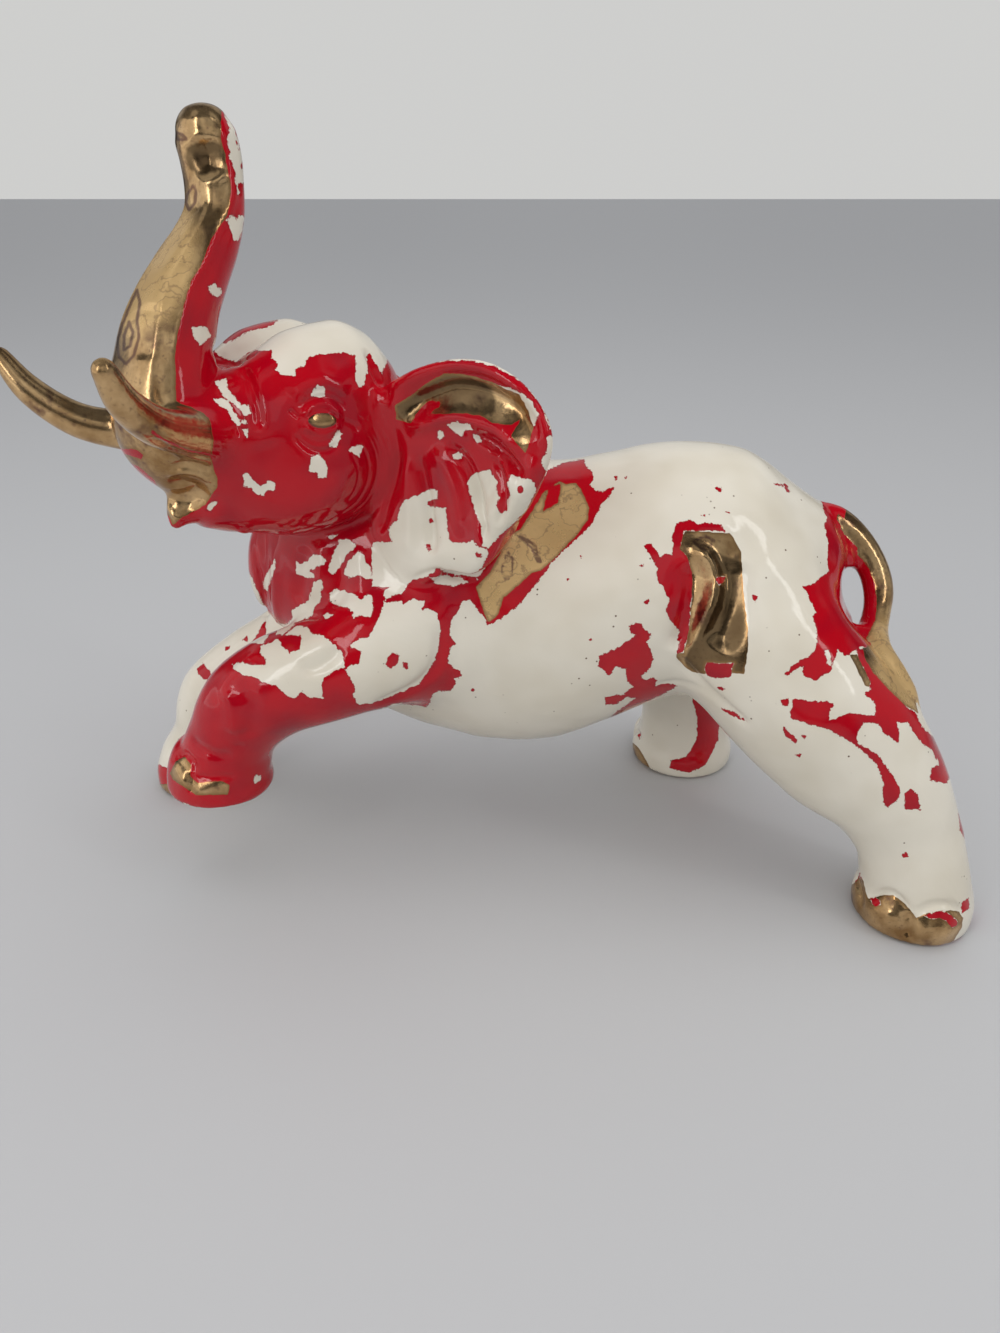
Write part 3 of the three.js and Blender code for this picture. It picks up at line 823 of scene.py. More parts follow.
def heal(skin):
    """Evens out the places where pressing has folded the skin over itself."""
    for _ in range(10):
        a, b, c = corners_of(skin.points, skin.triangles)
        facing = unit(np.cross(b - a, c - a))
        around = skin.normals()[skin.triangles].mean(axis=1)
        folded = (facing * around).sum(axis=1) < FOLD_LIMIT
        if not folded.any():
            return
        chosen = np.zeros(len(skin.points), bool)
        chosen[skin.triangles[folded].ravel()] = True
        for _ in range(2):
            chosen[skin.target[chosen[skin.source]]] = True
        links = np.flatnonzero(chosen[skin.source])
        spots = np.flatnonzero(chosen)
        order = np.searchsorted(spots, skin.source[links])
        for _ in range(4):
            total = np.stack([np.bincount(order, skin.points[skin.target[links], axis], len(spots))
                              for axis in range(3)], 1)
            mean = total / skin.degree[spots][:, None]
            skin.points[spots] += 0.6 * (mean - skin.points[spots])


# Pieces of the skin
def piece_shares(skin, pieces):
    """How near every vertex lies to each piece, evened out."""
    near = np.stack([clay.at(skin.points) for clay in pieces.values()], 1)
    for _ in range(3):
        near = skin.mean_around(near)
    return near


def face_pairs(triangles, count):
    """Pairs of triangles that share an edge."""
    edges = edges_of(triangles)
    keys = edges.min(axis=1).astype(np.int64) * count + edges.max(axis=1)
    faces = np.tile(np.arange(len(triangles)), 3)
    order = np.argsort(keys, kind="stable")
    keys, faces = keys[order], faces[order]
    same = np.flatnonzero(keys[1:] == keys[:-1])
    return faces[same], faces[same + 1]


def islands(count, first, second):
    """Number of the connected island that each face lies in."""
    group = np.arange(count)
    while True:
        low = np.minimum(group[first], group[second])
        before = group.copy()
        np.minimum.at(group, before[first], low)
        np.minimum.at(group, before[second], low)
        group = group[group]
        if np.array_equal(group, before):
            return group


def label_faces(skin, near):
    """The piece of every triangle, each piece in one connected part."""
    labels = near[skin.triangles].mean(axis=1).argmin(axis=1)
    first, second = face_pairs(skin.triangles, len(skin.points))
    for _ in range(4):
        same = labels[first] == labels[second]
        group = islands(len(labels), first[same], second[same])
        size = np.bincount(group, minlength=len(labels))
        for label in range(near.shape[1]):
            groups = np.unique(group[labels == label])
            if len(groups) < 2:
                continue
            main = groups[size[groups].argmax()]
            stray = (labels == label) & (group != main)
            for a, b in ((first, second), (second, first)):
                edge = stray[a] & (labels[b] != label)
                for g in np.unique(group[a[edge]]):
                    around = labels[b[edge & (group[a] == g)]]
                    labels[group == g] = np.bincount(around).argmax()
    return labels


def boundary_loops(triangles):
    """Loops of directed edges that have no partner."""
    edges = edges_of(triangles)
    have = {tuple(edge) for edge in edges.tolist()}
    onward = {}
    for a, b in have:
        if (b, a) not in have:
            onward.setdefault(a, []).append(b)
    loops = []
    while onward:
        start = next(iter(onward))
        loop, here = [], start
        while here in onward:
            loop.append(here)
            following = onward[here].pop()
            if not onward[here]:
                del onward[here]
            here = following
        loops.append(loop)
    return loops


SEAT_RINGS = 9
SEAT_DROP = 0.8  # depth of the first ring under the rim of a piece
SEAT_COVER = 1.3  # depth at which the other rings are kept under the skin


def close_loop(points, inward, loop, tree, first_index):
    """Rings that close a loop under the skin, as new points and triangles."""
    rim = points[loop] + SEAT_DROP * inward[loop]
    middle = rim.mean(axis=0)
    count = len(loop)
    new = [rim + (middle - rim) * (k / SEAT_RINGS) for k in range(SEAT_RINGS)]
    new = np.vstack(new + [middle[None]])
    for index, point in enumerate(new):
        if index < count:
            continue
        for _ in range(3):
            place, normal, _, _ = tree.find_nearest(Vector(point))
            height = (Vector(point) - place).dot(normal)
            if height > -1.0:
                point = point - np.array(normal) * (height + SEAT_COVER)
        new[index] = point
    faces = []
    above = list(loop)
    for k in range(SEAT_RINGS):
        below = [first_index + k * count + i for i in range(count)]
        for i in range(count):
            j = (i + 1) % count
            faces += [(above[j], above[i], below[i]), (above[j], below[i], below[j])]
        above = below
    centre = first_index + SEAT_RINGS * count
    faces += [(above[(i + 1) % count], above[i], centre) for i in range(count)]
    return new, faces


def to_row(points):
    """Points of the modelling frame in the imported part's frame, in metres."""
    return (points + TO_PART) * 0.001


def build_piece(name, skin, normals, labels, number, tree, paint, material):
    """One closed piece of the figurine, with its paint."""
    triangles = skin.triangles[labels == number]
    used, corners = np.unique(triangles, return_inverse=True)
    corners = corners.reshape(-1, 3)
    points = skin.points[used]
    all_points, all_faces = [points], [corners]
    count = len(points)
    for loop in boundary_loops(corners):
        new, faces = close_loop(points, -normals[used], loop, tree, count)
        all_points.append(new)
        all_faces.append(np.array(faces))
        count += len(new)
    all_points = np.vstack(all_points)
    mesh = bpy.data.meshes.new(name)
    mesh.from_pydata(to_row(all_points).tolist(), [], np.vstack(all_faces).tolist())
    mesh.update()
    piece = bpy.data.objects.new(name + "_glazed", mesh)
    bpy.context.scene.collection.objects.link(piece)
    for key, values in paint.items():
        layer = mesh.attributes.new(key, "FLOAT", "POINT")
        whole = np.full(count, -DEEP, np.float32)
        whole[:len(used)] = values[used]
        layer.data.foreach_set("value", whole)
    mesh.polygons.foreach_set("use_smooth", [True] * len(mesh.polygons))
    shading = np.empty(count * 3)
    mesh.vertex_normals.foreach_get("vector", shading)
    shading = shading.reshape(-1, 3)
    shading[:len(used)] = normals[used]
    mesh.normals_split_custom_set_from_vertices(shading.tolist())
    mesh.materials.append(material)
    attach(piece, "root")
    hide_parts(name)


# Paint: outlines in pixels of the photograph, laid on in this order. Red and gold are laid on,
# cream is where the red has come off, bare is gold worn off down to the red, and ungilded is
# gold that has come off with the red under it left as it was
HEAD = ("head", "lower_jaw", "trunk", "tusk_left", "tusk_right")
EARS = ("ear_left", "ear_right")
LEGS = ("foreleg_left", "foreleg_right", "hind_leg_left", "hind_leg_right")
GOLDEN = ("tusk_left", "tusk_right", "tail")
TORSO_AND_NEAR_LEGS = ("torso", "foreleg_left", "hind_leg_left")
NEAR_FORELEG = ("foreleg_left",)
NEAR_HIND_LEG = ("hind_leg_left",)
FAR_FORELEG = ("foreleg_right",)
FAR_HIND_LEG = ("hind_leg_right",)
TAIL_ONLY = ("tail",)


def belongs(piece, names, some):
    """Which vertices belong to some of the pieces."""
    return np.isin(piece, [names.index(name) for name in some])


def any_of(members, some):
    """Which vertices belong to some of the pieces, from a table of their members."""
    return np.any([members[name] for name in some], axis=0)


def oval(x, y, half_width, half_height):
    """Outline of an oval."""
    turn = np.arange(20) * math.pi / 10
    return [(x + half_width * math.cos(a), y + half_height * math.sin(a)) for a in turn]


CHEST_PAINT = [
    ("red", TORSO_AND_NEAR_LEGS, [
        [(230, 510), (400, 470), (400, 560), (384, 603), (411, 581), (437, 569), (476, 577),
         (482, 600), (488, 623), (470, 600), (462, 601), (457, 613), (451, 621), (450, 635),
         (456, 644), (450, 648), (448, 663), (455, 669), (461, 671), (462, 676), (455, 679),
         (456, 684), (450, 691), (437, 691), (432, 696), (428, 707), (397, 703), (372, 712),
         (340, 722), (310, 730), (290, 745), (280, 765), (272, 805), (215, 815), (150, 790),
         (150, 750), (175, 725), (188, 695), (200, 672), (215, 655), (240, 642), (262, 644),
         (268, 638), (262, 600), (250, 575), (235, 545)],
    ]),
    ("cream", TORSO_AND_NEAR_LEGS, [
        [(296, 561), (300, 564), (307, 561), (311, 556), (316, 554), (322, 556), (326, 559),
         (324, 565), (319, 565), (314, 569), (309, 570), (315, 575), (313, 578), (308, 578),
         (302, 575), (296, 574)],
        [(328, 571), (331, 560), (339, 541), (346, 538), (356, 545), (354, 550), (346, 555),
         (340, 568), (333, 575)],
        [(343, 574), (346, 568), (348, 562), (353, 557), (358, 552), (365, 554), (365, 561),
         (371, 568), (371, 579), (364, 578), (358, 575), (351, 578)],
        [(276, 634), (278, 625), (288, 624), (293, 617), (291, 610), (299, 606), (308, 601),
         (312, 589), (314, 582), (321, 579), (323, 588), (320, 591), (322, 598), (319, 602),
         (314, 607), (313, 615), (308, 618), (296, 622), (289, 630), (282, 635)],
        [(330, 594), (335, 588), (340, 591), (345, 590), (348, 593), (355, 594), (360, 600),
         (368, 594), (372, 596), (373, 613), (369, 617), (364, 616), (360, 615), (353, 619),
         (353, 613), (348, 608), (335, 605), (330, 601)],
        [(322, 615), (328, 613), (333, 615), (326, 620)],
        [(275, 559), (275, 568), (271, 579), (267, 591), (264, 589), (263, 582), (267, 573),
         (272, 565)],
        [(328, 537), (339, 534), (337, 536), (332, 539), (329, 539)],
        [(384, 597), (400, 594), (411, 582), (411, 577), (384, 590)],
        [(400, 606), (413, 599), (425, 601), (421, 611), (411, 620), (403, 617)],
    ]),
]
FOREARM_PAINT = [
    ("cream", TORSO_AND_NEAR_LEGS, [
        [(351, 645), (358, 639), (368, 638), (373, 630), (379, 617), (384, 603), (402, 601),
         (407, 618), (428, 608), (436, 612), (440, 623), (439, 645), (434, 662), (419, 684),
         (392, 696), (373, 703), (358, 705), (353, 696), (356, 688), (351, 681), (346, 670),
         (351, 665), (359, 663), (362, 651), (351, 647)],
    ]),
    ("red", TORSO_AND_NEAR_LEGS, [
        [(385, 664), (392, 652), (399, 656), (398, 664), (390, 669)],
        [(403, 662), (408, 662), (408, 669), (402, 667)],
    ]),
    ("cream", NEAR_FORELEG + ("torso",), [
        [(232, 664), (242, 662), (254, 665), (266, 665), (265, 659), (260, 652), (261, 646),
         (278, 639), (281, 645), (290, 653), (300, 650), (301, 636), (295, 635), (285, 635),
         (297, 625), (307, 627), (312, 633), (324, 636), (334, 645), (342, 652), (345, 667),
         (334, 671), (323, 679), (322, 686), (323, 698), (310, 697), (301, 692), (295, 698),
         (288, 696), (276, 686), (261, 681), (259, 679), (244, 675), (234, 669)],
    ]),
    ("cream", NEAR_FORELEG, [
        [(253, 781), (256, 775), (261, 776), (260, 781), (255, 783)],
    ]),
]
FLANK_PAINT = [
    ("red", TORSO_AND_NEAR_LEGS, [
        [(676, 523), (692, 520), (697, 524), (710, 523), (722, 525), (725, 531), (685, 531),
         (680, 549), (687, 555), (693, 573), (692, 595), (690, 615), (689, 630), (684, 652),
         (676, 654), (680, 641), (677, 640), (679, 630), (669, 619), (666, 611), (669, 599),
         (666, 593), (661, 585), (657, 579), (657, 567), (650, 555), (644, 546), (650, 543),
         (656, 550), (660, 557), (666, 553), (672, 555), (673, 543), (672, 536), (675, 527)],
        [(599, 656), (598, 666), (609, 676), (616, 667), (626, 669), (627, 681), (633, 687),
         (624, 694), (605, 697), (605, 705), (616, 704), (627, 697), (636, 698), (616, 712),
         (610, 718), (658, 697), (678, 686), (669, 683), (655, 686), (657, 681), (654, 677),
         (644, 680), (641, 676), (651, 667), (653, 659), (651, 650), (647, 642), (651, 635),
         (644, 629), (640, 622), (629, 625), (630, 634), (636, 635), (627, 641), (616, 649)],
    ]),
]
HAUNCH_PAINT = [
    ("red", TORSO_AND_NEAR_LEGS, [
        [(822, 500), (823, 510), (827, 517), (824, 526), (826, 532), (828, 541), (827, 559),
         (829, 571), (821, 577), (814, 583), (802, 587), (807, 591), (808, 596), (812, 605),
         (816, 612), (813, 616), (816, 628), (817, 641), (815, 651), (807, 657), (794, 664),
         (785, 674), (788, 675), (798, 668), (804, 666), (802, 671), (804, 676), (816, 681),
         (821, 676), (831, 671), (832, 666), (838, 650), (846, 656), (849, 654), (862, 646),
         (880, 650), (890, 640), (895, 605), (890, 560), (870, 530), (850, 508), (830, 500)],
    ]),
    ("cream", TORSO_AND_NEAR_LEGS, [
        [(825, 650), (829, 650), (831, 659), (830, 665), (827, 663)],
    ]),
    ("red", TORSO_AND_NEAR_LEGS, [
        [(850, 655), (870, 666), (880, 684), (891, 698), (915, 712), (922, 726), (936, 740),
         (946, 757), (951, 774), (947, 784), (930, 780), (932, 768), (939, 765), (933, 751),
         (922, 743), (916, 735), (908, 723), (897, 722), (899, 735), (898, 743), (883, 732),
         (877, 723), (863, 723), (857, 735), (857, 743), (869, 749), (877, 754), (885, 765),
         (894, 777), (901, 791), (897, 802), (887, 808), (883, 802), (883, 782), (877, 765),
         (866, 754), (852, 743), (829, 729), (815, 726), (798, 721), (790, 718), (793, 698),
         (807, 701), (827, 701), (834, 705), (829, 712), (829, 721), (852, 712), (863, 715),
         (874, 715), (876, 704), (863, 693), (871, 690), (871, 676), (862, 662)],
        [(780, 700), (789, 698), (789, 707), (782, 705)],
        [(905, 794), (911, 789), (918, 794), (921, 810), (905, 809)],
        [(902, 854), (906, 851), (909, 857), (904, 858)],
        [(783, 726), (798, 740), (796, 744), (784, 735)],
        [(801, 735), (808, 736), (804, 739)],
        [(794, 754), (801, 754), (800, 758)],
        [(958, 813), (975, 833), (970, 848), (960, 830)],
        [(720, 707), (734, 712), (748, 722), (740, 719), (725, 712)],
    ]),
]
CHIPS_PAINT = [
    ("red", TORSO_AND_NEAR_LEGS, [
        [(713, 488), (721, 487), (721, 492), (718, 491)],
        [(774, 484), (786, 484), (790, 492), (787, 493), (784, 487)],
        [(699, 514), (706, 515), (705, 517)],
        [(726, 512), (732, 511), (730, 514)],
        [(735, 520), (740, 519), (737, 521)],
        [(614, 477), (618, 475), (616, 482)],
        [(623, 480), (627, 475), (627, 478)],
        [(638, 566), (644, 564), (643, 567)],
        [(643, 601), (649, 599), (648, 604), (644, 603)],
        [(752, 596), (755, 595), (758, 598), (755, 602), (752, 599)],
        [(717, 688), (722, 686), (726, 689), (722, 691)],
        oval(581, 557, 1.6, 1.6),
        oval(568, 579, 1.5, 1.5),
        oval(591, 640, 1.5, 1.5),
        oval(473, 690, 1.6, 1.3),
    ]),
]
NECK_PAINT = [
    ("red", TORSO_AND_NEAR_LEGS, [
        [(549, 469), (566, 462), (584, 459), (586, 466), (593, 473), (593, 481), (590, 485),
         (596, 491), (604, 491), (615, 486), (611, 495), (602, 503), (594, 520), (586, 530),
         (553, 561), (543, 575), (531, 591), (521, 603), (506, 615), (502, 618), (488, 625),
         (480, 610), (474, 585)],
    ]),
]
FAR_LEGS_PAINT = [
    ("red", FAR_FORELEG, [
        [(197, 669), (203, 663), (210, 671), (213, 681), (203, 679), (198, 674)],
        [(225, 647), (231, 646), (226, 652)],
        [(242, 640), (247, 636), (248, 642)],
    ]),
    ("red", FAR_FORELEG + ("torso",), [
        [(250, 645), (266, 619), (266, 638)],
    ]),
    ("red", FAR_FORELEG, [
        [(158, 764), (169, 769), (173, 786), (203, 797), (222, 812), (160, 812), (150, 790)],
    ]),
    ("red", FAR_HIND_LEG + ("torso",), [
        [(692, 698), (714, 704), (720, 718), (718, 740), (706, 765), (689, 773), (668, 768),
         (672, 760), (686, 757), (697, 740), (697, 718)],
    ]),
    ("red", FAR_HIND_LEG, [
        [(637, 735), (641, 732), (640, 740)],
    ]),
]
HEAD_RED_PAINT = [
    ("cream", HEAD, [
        [(218, 356), (231, 360), (236, 362), (247, 353), (255, 350), (273, 350), (272, 358),
         (278, 365), (275, 370), (281, 375), (294, 376), (296, 369), (304, 366), (307, 358),
         (320, 354), (333, 353), (338, 352), (349, 354), (355, 356), (356, 364), (355, 378),
         (359, 387), (364, 385), (368, 369), (366, 356), (370, 353), (382, 374), (395, 340),
         (330, 290), (240, 300), (212, 345)],
    ]),
    ("red", HEAD, [
        [(221, 341), (236, 330), (255, 323), (278, 320), (270, 327), (249, 331), (226, 344)],
    ]),
    ("cream", HEAD, [
        [(209, 286), (215, 283), (221, 290), (219, 298), (211, 294)],
        [(192, 327), (207, 327), (211, 336), (206, 341), (200, 345), (193, 336)],
        [(214, 382), (226, 378), (228, 390), (236, 398), (241, 405), (249, 405), (251, 413),
         (244, 416), (238, 407), (228, 400), (223, 395), (218, 387)],
        [(214, 399), (226, 399), (234, 411), (240, 421), (239, 426), (235, 424), (228, 411),
         (217, 404)],
        oval(245, 422, 2, 2),
        [(241, 428), (248, 429), (247, 438)],
        [(311, 394), (317, 385), (324, 387), (325, 396), (317, 398)],
        [(339, 430), (342, 434), (336, 447), (328, 447), (333, 437)],
        [(347, 450), (356, 445), (363, 446), (360, 458), (354, 454)],
        [(311, 458), (317, 454), (324, 460), (328, 467), (326, 477), (319, 479), (317, 473),
         (309, 471)],
        [(243, 476), (248, 473), (253, 480), (255, 484), (262, 486), (268, 481), (275, 483),
         (274, 490), (265, 492), (264, 496), (255, 493), (252, 488), (244, 486)],
        [(206, 510), (210, 502), (218, 501), (211, 511)],
    ]),
]
TRUNK_EDGE_PAINT = [
    ("cream", HEAD, [
        [(223, 110), (229, 116), (235, 131), (240, 146), (243, 162), (245, 182), (239, 183),
         (238, 188), (240, 192), (238, 194), (236, 184), (235, 172), (230, 155), (228, 141),
         (229, 133), (230, 129), (227, 121)],
    ]),
    ("red", HEAD, [
        [(236, 140), (240, 151), (238, 150)],
        oval(242, 166, 1.5, 3),
    ]),
    ("cream", HEAD, [
        [(227, 220), (232, 214), (235, 216), (236, 220), (238, 215), (245, 217), (243, 228),
         (239, 240), (232, 240), (233, 233), (229, 229)],
    ]),
]
EAR_RED_PAINT = [
    ("cream", EARS, [
        [(448, 425), (455, 421), (462, 424), (471, 424), (472, 430), (465, 430), (462, 437),
         (451, 430)],
        [(437, 432), (443, 431), (445, 436), (440, 440), (438, 438)],
        [(473, 435), (478, 434), (482, 440), (478, 443), (474, 440)],
        [(453, 454), (459, 452), (464, 456), (459, 460), (454, 458)],
        [(492, 383), (509, 388), (523, 394), (533, 403), (539, 415), (533, 428), (531, 422),
         (521, 407), (506, 393)],
        [(398, 372), (420, 364), (447, 360.5), (470, 360.5), (498, 367.5), (524, 383.5), (542, 406),
         (551, 431), (570, 436), (570, 400), (500, 340), (450, 335), (390, 350)],
        [(548, 436), (556, 436), (556, 472), (545, 470), (541, 462), (547, 452)],
        [(467, 483), (470, 477), (476, 473), (490, 470), (493, 476), (497, 481), (497, 492),
         (500, 498), (495, 505), (502, 514), (507, 510), (507, 501), (510, 495), (507, 483),
         (511, 475), (528, 479), (536, 483), (535, 493), (526, 511), (511, 526), (494, 541),
         (489, 549), (483, 546), (481, 524), (474, 509), (470, 495)],
    ]),
    ("red", EARS, [oval(520, 490, 3, 4)]),
    ("cream", EARS + ("torso", "head"), [
        [(372, 542), (392, 542), (389, 534), (390, 526), (398, 520), (399, 509), (404, 501),
         (413, 497), (421, 494), (431, 489), (437, 490), (438, 498), (429, 501), (427, 505),
         (433, 507), (446, 508), (447, 524), (449, 542), (458, 543), (470, 542), (474, 539),
         (476, 546), (488, 550), (488, 556), (484, 562), (482, 568), (470, 575), (455, 575),
         (443, 571), (437, 568), (434, 573), (423, 577), (411, 581), (400, 593), (392, 595),
         (384, 597), (380, 601), (372, 597)],
    ]),
    ("red", EARS, [
        oval(431, 521, 2, 2),
        [(424, 545), (431, 544), (432, 550), (428, 552)],
        [(475, 552), (482, 554), (482, 558), (475, 557)],
    ]),
    ("cream", EARS + TORSO_AND_NEAR_LEGS, [
        [(431, 578), (445, 575), (462, 578), (468, 582), (452, 586), (436, 584)],
    ]),
]
HEAD_GOLD_PAINT = [
    ("gold", HEAD, [
        [(195, 80), (222, 108), (221, 126), (221, 137), (225, 155), (228, 172), (231, 187),
         (230, 202), (227, 216), (220, 226), (211, 239), (202, 264), (191, 282), (184, 306),
         (177, 337), (175, 355), (176, 401), (200, 411), (209, 419), (212, 430), (214, 440),
         (212, 452), (211, 459), (216, 475), (218, 484), (217, 488), (205, 505), (183, 517),
         (173, 525), (160, 500), (155, 480), (138, 466), (107, 455), (80, 440), (60, 400),
         (90, 300), (130, 230), (150, 180), (150, 110)],
    ]),
    ("bare", HEAD, [
        [(151, 429), (161, 437), (169, 441), (179, 446), (189, 450), (211, 453), (211, 456),
         (187, 452), (172, 445), (160, 439), (151, 433)],
        [(112, 448), (137, 450), (144, 455), (141, 459), (128, 455), (117, 453)],
    ]),
    ("ungilded", HEAD, [
        [(180, 403), (200, 411), (209, 419), (212, 430), (214, 440), (212, 452), (211, 459),
         (216, 475), (218, 484), (260, 484), (260, 395), (185, 390)],
    ]),
    ("gold", HEAD, [oval(322.5, 420.5, 14.5, 7.5)]),
]
EAR_GOLD_PAINT = [
    ("gold", EARS, [
        [(395, 405), (411, 395), (427, 383), (443, 374), (453, 373), (472, 376), (492, 382),
         (506, 389), (519, 394), (528, 410), (533, 428), (530, 441), (525, 453), (511, 436),
         (521, 419), (511, 425), (492, 423), (482, 416), (462, 413), (441, 414), (429, 414),
         (421, 411), (411, 423), (396, 420)],
    ]),
    ("bare", EARS, [
        [(411, 422), (421, 407), (429, 401), (441, 401), (439, 407), (429, 414)],
    ]),
]
BODY_GOLD_PAINT = [
    ("gold", TORSO_AND_NEAR_LEGS, [
        [(560, 481), (566, 484), (576, 483), (582, 491), (589, 507), (588, 520), (576, 536),
         (553, 560), (541, 571), (531, 573), (519, 585), (504, 597), (498, 615), (488, 623),
         (484, 613), (480, 601), (476, 587), (490, 573), (502, 550), (511, 536), (521, 528),
         (531, 513), (543, 493)],
    ]),
    ("bare", TORSO_AND_NEAR_LEGS, [
        [(543, 511), (558, 503), (561, 483), (549, 487)],
    ]),
    ("gold", TORSO_AND_NEAR_LEGS, [
        [(685, 531), (729, 533), (732, 535), (741, 552), (742, 567), (744, 598), (748, 628),
         (748, 651), (744, 674), (732, 673), (704, 674), (692, 672), (683, 665), (676, 657),
         (676, 654), (684, 653), (689, 630), (692, 598), (692, 573), (687, 556), (680, 549),
         (683, 536)],
    ]),
    ("bare", TORSO_AND_NEAR_LEGS, [
        [(715, 581), (717, 577), (726, 576), (724, 582), (719, 585)],
        [(704, 670), (706, 662), (716, 663), (735, 663), (732, 668), (731, 677), (719, 678),
         (707, 676)],
    ]),
    ("gold", TORSO_AND_NEAR_LEGS, [
        [(850, 655), (857, 654), (862, 666), (871, 682), (869, 687), (865, 686), (857, 669)],
        [(863, 648), (884, 640), (893, 660), (906, 680), (914, 694), (918, 713), (906, 706),
         (896, 697), (885, 686), (874, 673), (866, 661)],
    ]),
]
TOE_GOLD_PAINT = [
    ("gold", NEAR_FORELEG, [
        [(170, 773), (176, 761), (185, 757), (191, 766), (190, 776), (198, 783), (220, 781),
         (230, 785), (228, 795), (218, 795), (196, 795), (181, 785), (173, 779)],
    ]),
    ("gold", FAR_FORELEG, [
        [(158, 785), (171, 783), (174, 796), (160, 798)],
    ]),
    ("gold", NEAR_HIND_LEG, [
        [(846, 891), (854, 883), (860, 877), (863, 881), (866, 893), (869, 899), (875, 897),
         (884, 895), (893, 895), (900, 899), (906, 905), (912, 912), (916, 918), (923, 915),
         (930, 913), (940, 911), (952, 910), (959, 912), (963, 918), (962, 926), (959, 932),
         (954, 940), (946, 950), (935, 950), (918, 952), (900, 950), (883, 945), (866, 932),
         (852, 915)],
    ]),
    ("bare", NEAR_HIND_LEG, [
        [(870, 899), (875, 897), (880, 900), (881, 905), (876, 907), (872, 904)],
        [(923, 916), (932, 912), (944, 911), (951, 915), (958, 921), (957, 926), (952, 928),
         (946, 921), (940, 918), (930, 919)],
    ]),
    ("red", NEAR_HIND_LEG, [
        [(860, 873), (862, 880), (854, 884), (858, 877)],
        [(961, 908), (962, 903), (968, 898), (970, 908), (962, 914)],
    ]),
    ("gold", FAR_HIND_LEG, [
        [(622, 735), (637, 746), (644, 757), (651, 770), (636, 768), (622, 755)],
    ]),
    ("red", TORSO_AND_NEAR_LEGS, [
        [(857, 648), (866, 650), (874, 664), (886, 684), (902, 700), (912, 714), (890, 702),
         (872, 690), (869, 687), (871, 682), (862, 666), (857, 654)],
    ]),
    ("bare", TAIL_ONLY, [
        [(818, 488), (832, 496), (846, 509), (844, 519), (838, 514), (836, 522), (838, 532),
         (820, 530)],
    ]),
]
TAIL_INSIDE_PAINT = [
    ("bare", TAIL_ONLY, [
        [(820, 505), (837, 521), (842, 535), (851, 551), (862, 559), (869, 569), (875, 584),
         (877, 605), (875, 621), (868, 635), (862, 646), (850, 640), (840, 600), (830, 560)],
    ]),
]
PAINT = (CHEST_PAINT + FOREARM_PAINT + FLANK_PAINT + HAUNCH_PAINT + CHIPS_PAINT + NECK_PAINT
         + FAR_LEGS_PAINT + HEAD_RED_PAINT + TRUNK_EDGE_PAINT + EAR_RED_PAINT + HEAD_GOLD_PAINT
         + EAR_GOLD_PAINT + BODY_GOLD_PAINT + TOE_GOLD_PAINT + TAIL_INSIDE_PAINT)
# Dark rings in the gold, and round the near eye a dark line that is a painted shadow of its lids
STAINS_AND_LID_SHADOW = [
    [(137, 290), (131, 303), (122, 325), (117, 343), (119, 357), (126, 364), (134, 355),
     (139, 337), (137, 320), (140, 303)],
    [(129, 322), (124, 336), (124, 350), (130, 346), (133, 332)],
    [(193, 186), (196, 191), (195, 203), (189, 210), (186, 203), (187, 195)],
    [(175, 132), (183, 135), (186, 139), (178, 140)],
    [(504, 560), (508, 552), (513, 560), (511, 576), (505, 581), (502, 570)],
    [(693, 541), (706, 536), (715, 541), (705, 551)],
    [(519, 536), (528, 540), (535, 545), (538, 555), (541, 562), (538, 562), (535, 556),
     (532, 548), (526, 543)],
    # Painted shadow of the near eye's lids
    oval(322.5, 420.0, 14.0, 7.4),
]
# Painted dark reflections and shade in the gold: rear half of the flank panel, the ear band under its
# rim, dish of the trunk's tip
PAINTED_DARK_REFLECTIONS = [
    [(706, 554), (713, 550), (718, 551), (724, 556), (733, 558), (741, 552), (743, 567),
     (745, 598), (749, 628), (749, 651), (745, 675), (690, 674), (684, 662), (687, 652),
     (695, 640), (703, 622), (712, 600), (716, 580), (713, 566)],
    [(393, 403), (402, 391), (414, 382), (432, 375), (450, 371), (470, 376), (491, 386),
     (496, 398), (495, 412), (482, 418), (463, 415), (445, 411), (432, 402), (422, 408),
     (416, 416), (405, 422), (395, 421)],
    [(186, 148), (196, 142), (214, 140), (222, 145), (223, 160), (216, 172), (200, 175),
     (189, 169), (184, 158)],
]
DEEP = 9.0  # millimetres from an edge taken as the middle of a colour
# Pixels round an outline in which its edge still counts, and how far a surface has to face the
# camera to take paint, and the same for marks in the gold
MARGIN, PAINT_FACING = 16, -0.35
MARK_MARGIN, MARK_FACING = 12, 0.05


def outline_distance(pixels, outline):
    """Pixels to the edge of a closed outline, more than 0 inside it."""
    edge = np.array(outline, float)
    following = np.roll(edge, -1, axis=0)
    least = np.full(len(pixels), np.inf)
    inside = np.zeros(len(pixels), bool)
    for (x0, y0), (x1, y1) in zip(edge, following):
        run, rise = x1 - x0, y1 - y0
        right, down = pixels[:, 0] - x0, pixels[:, 1] - y0
        t = np.clip((right * run + down * rise) / max(run * run + rise * rise, 1e-9), 0, 1)
        least = np.minimum(least, (right - t * run) ** 2 + (down - t * rise) ** 2)
        if y0 != y1:
            between = (pixels[:, 1] >= min(y0, y1)) & (pixels[:, 1] < max(y0, y1))
            inside ^= between & (right < down * run / rise)
    return np.where(inside, 1, -1) * np.sqrt(least)


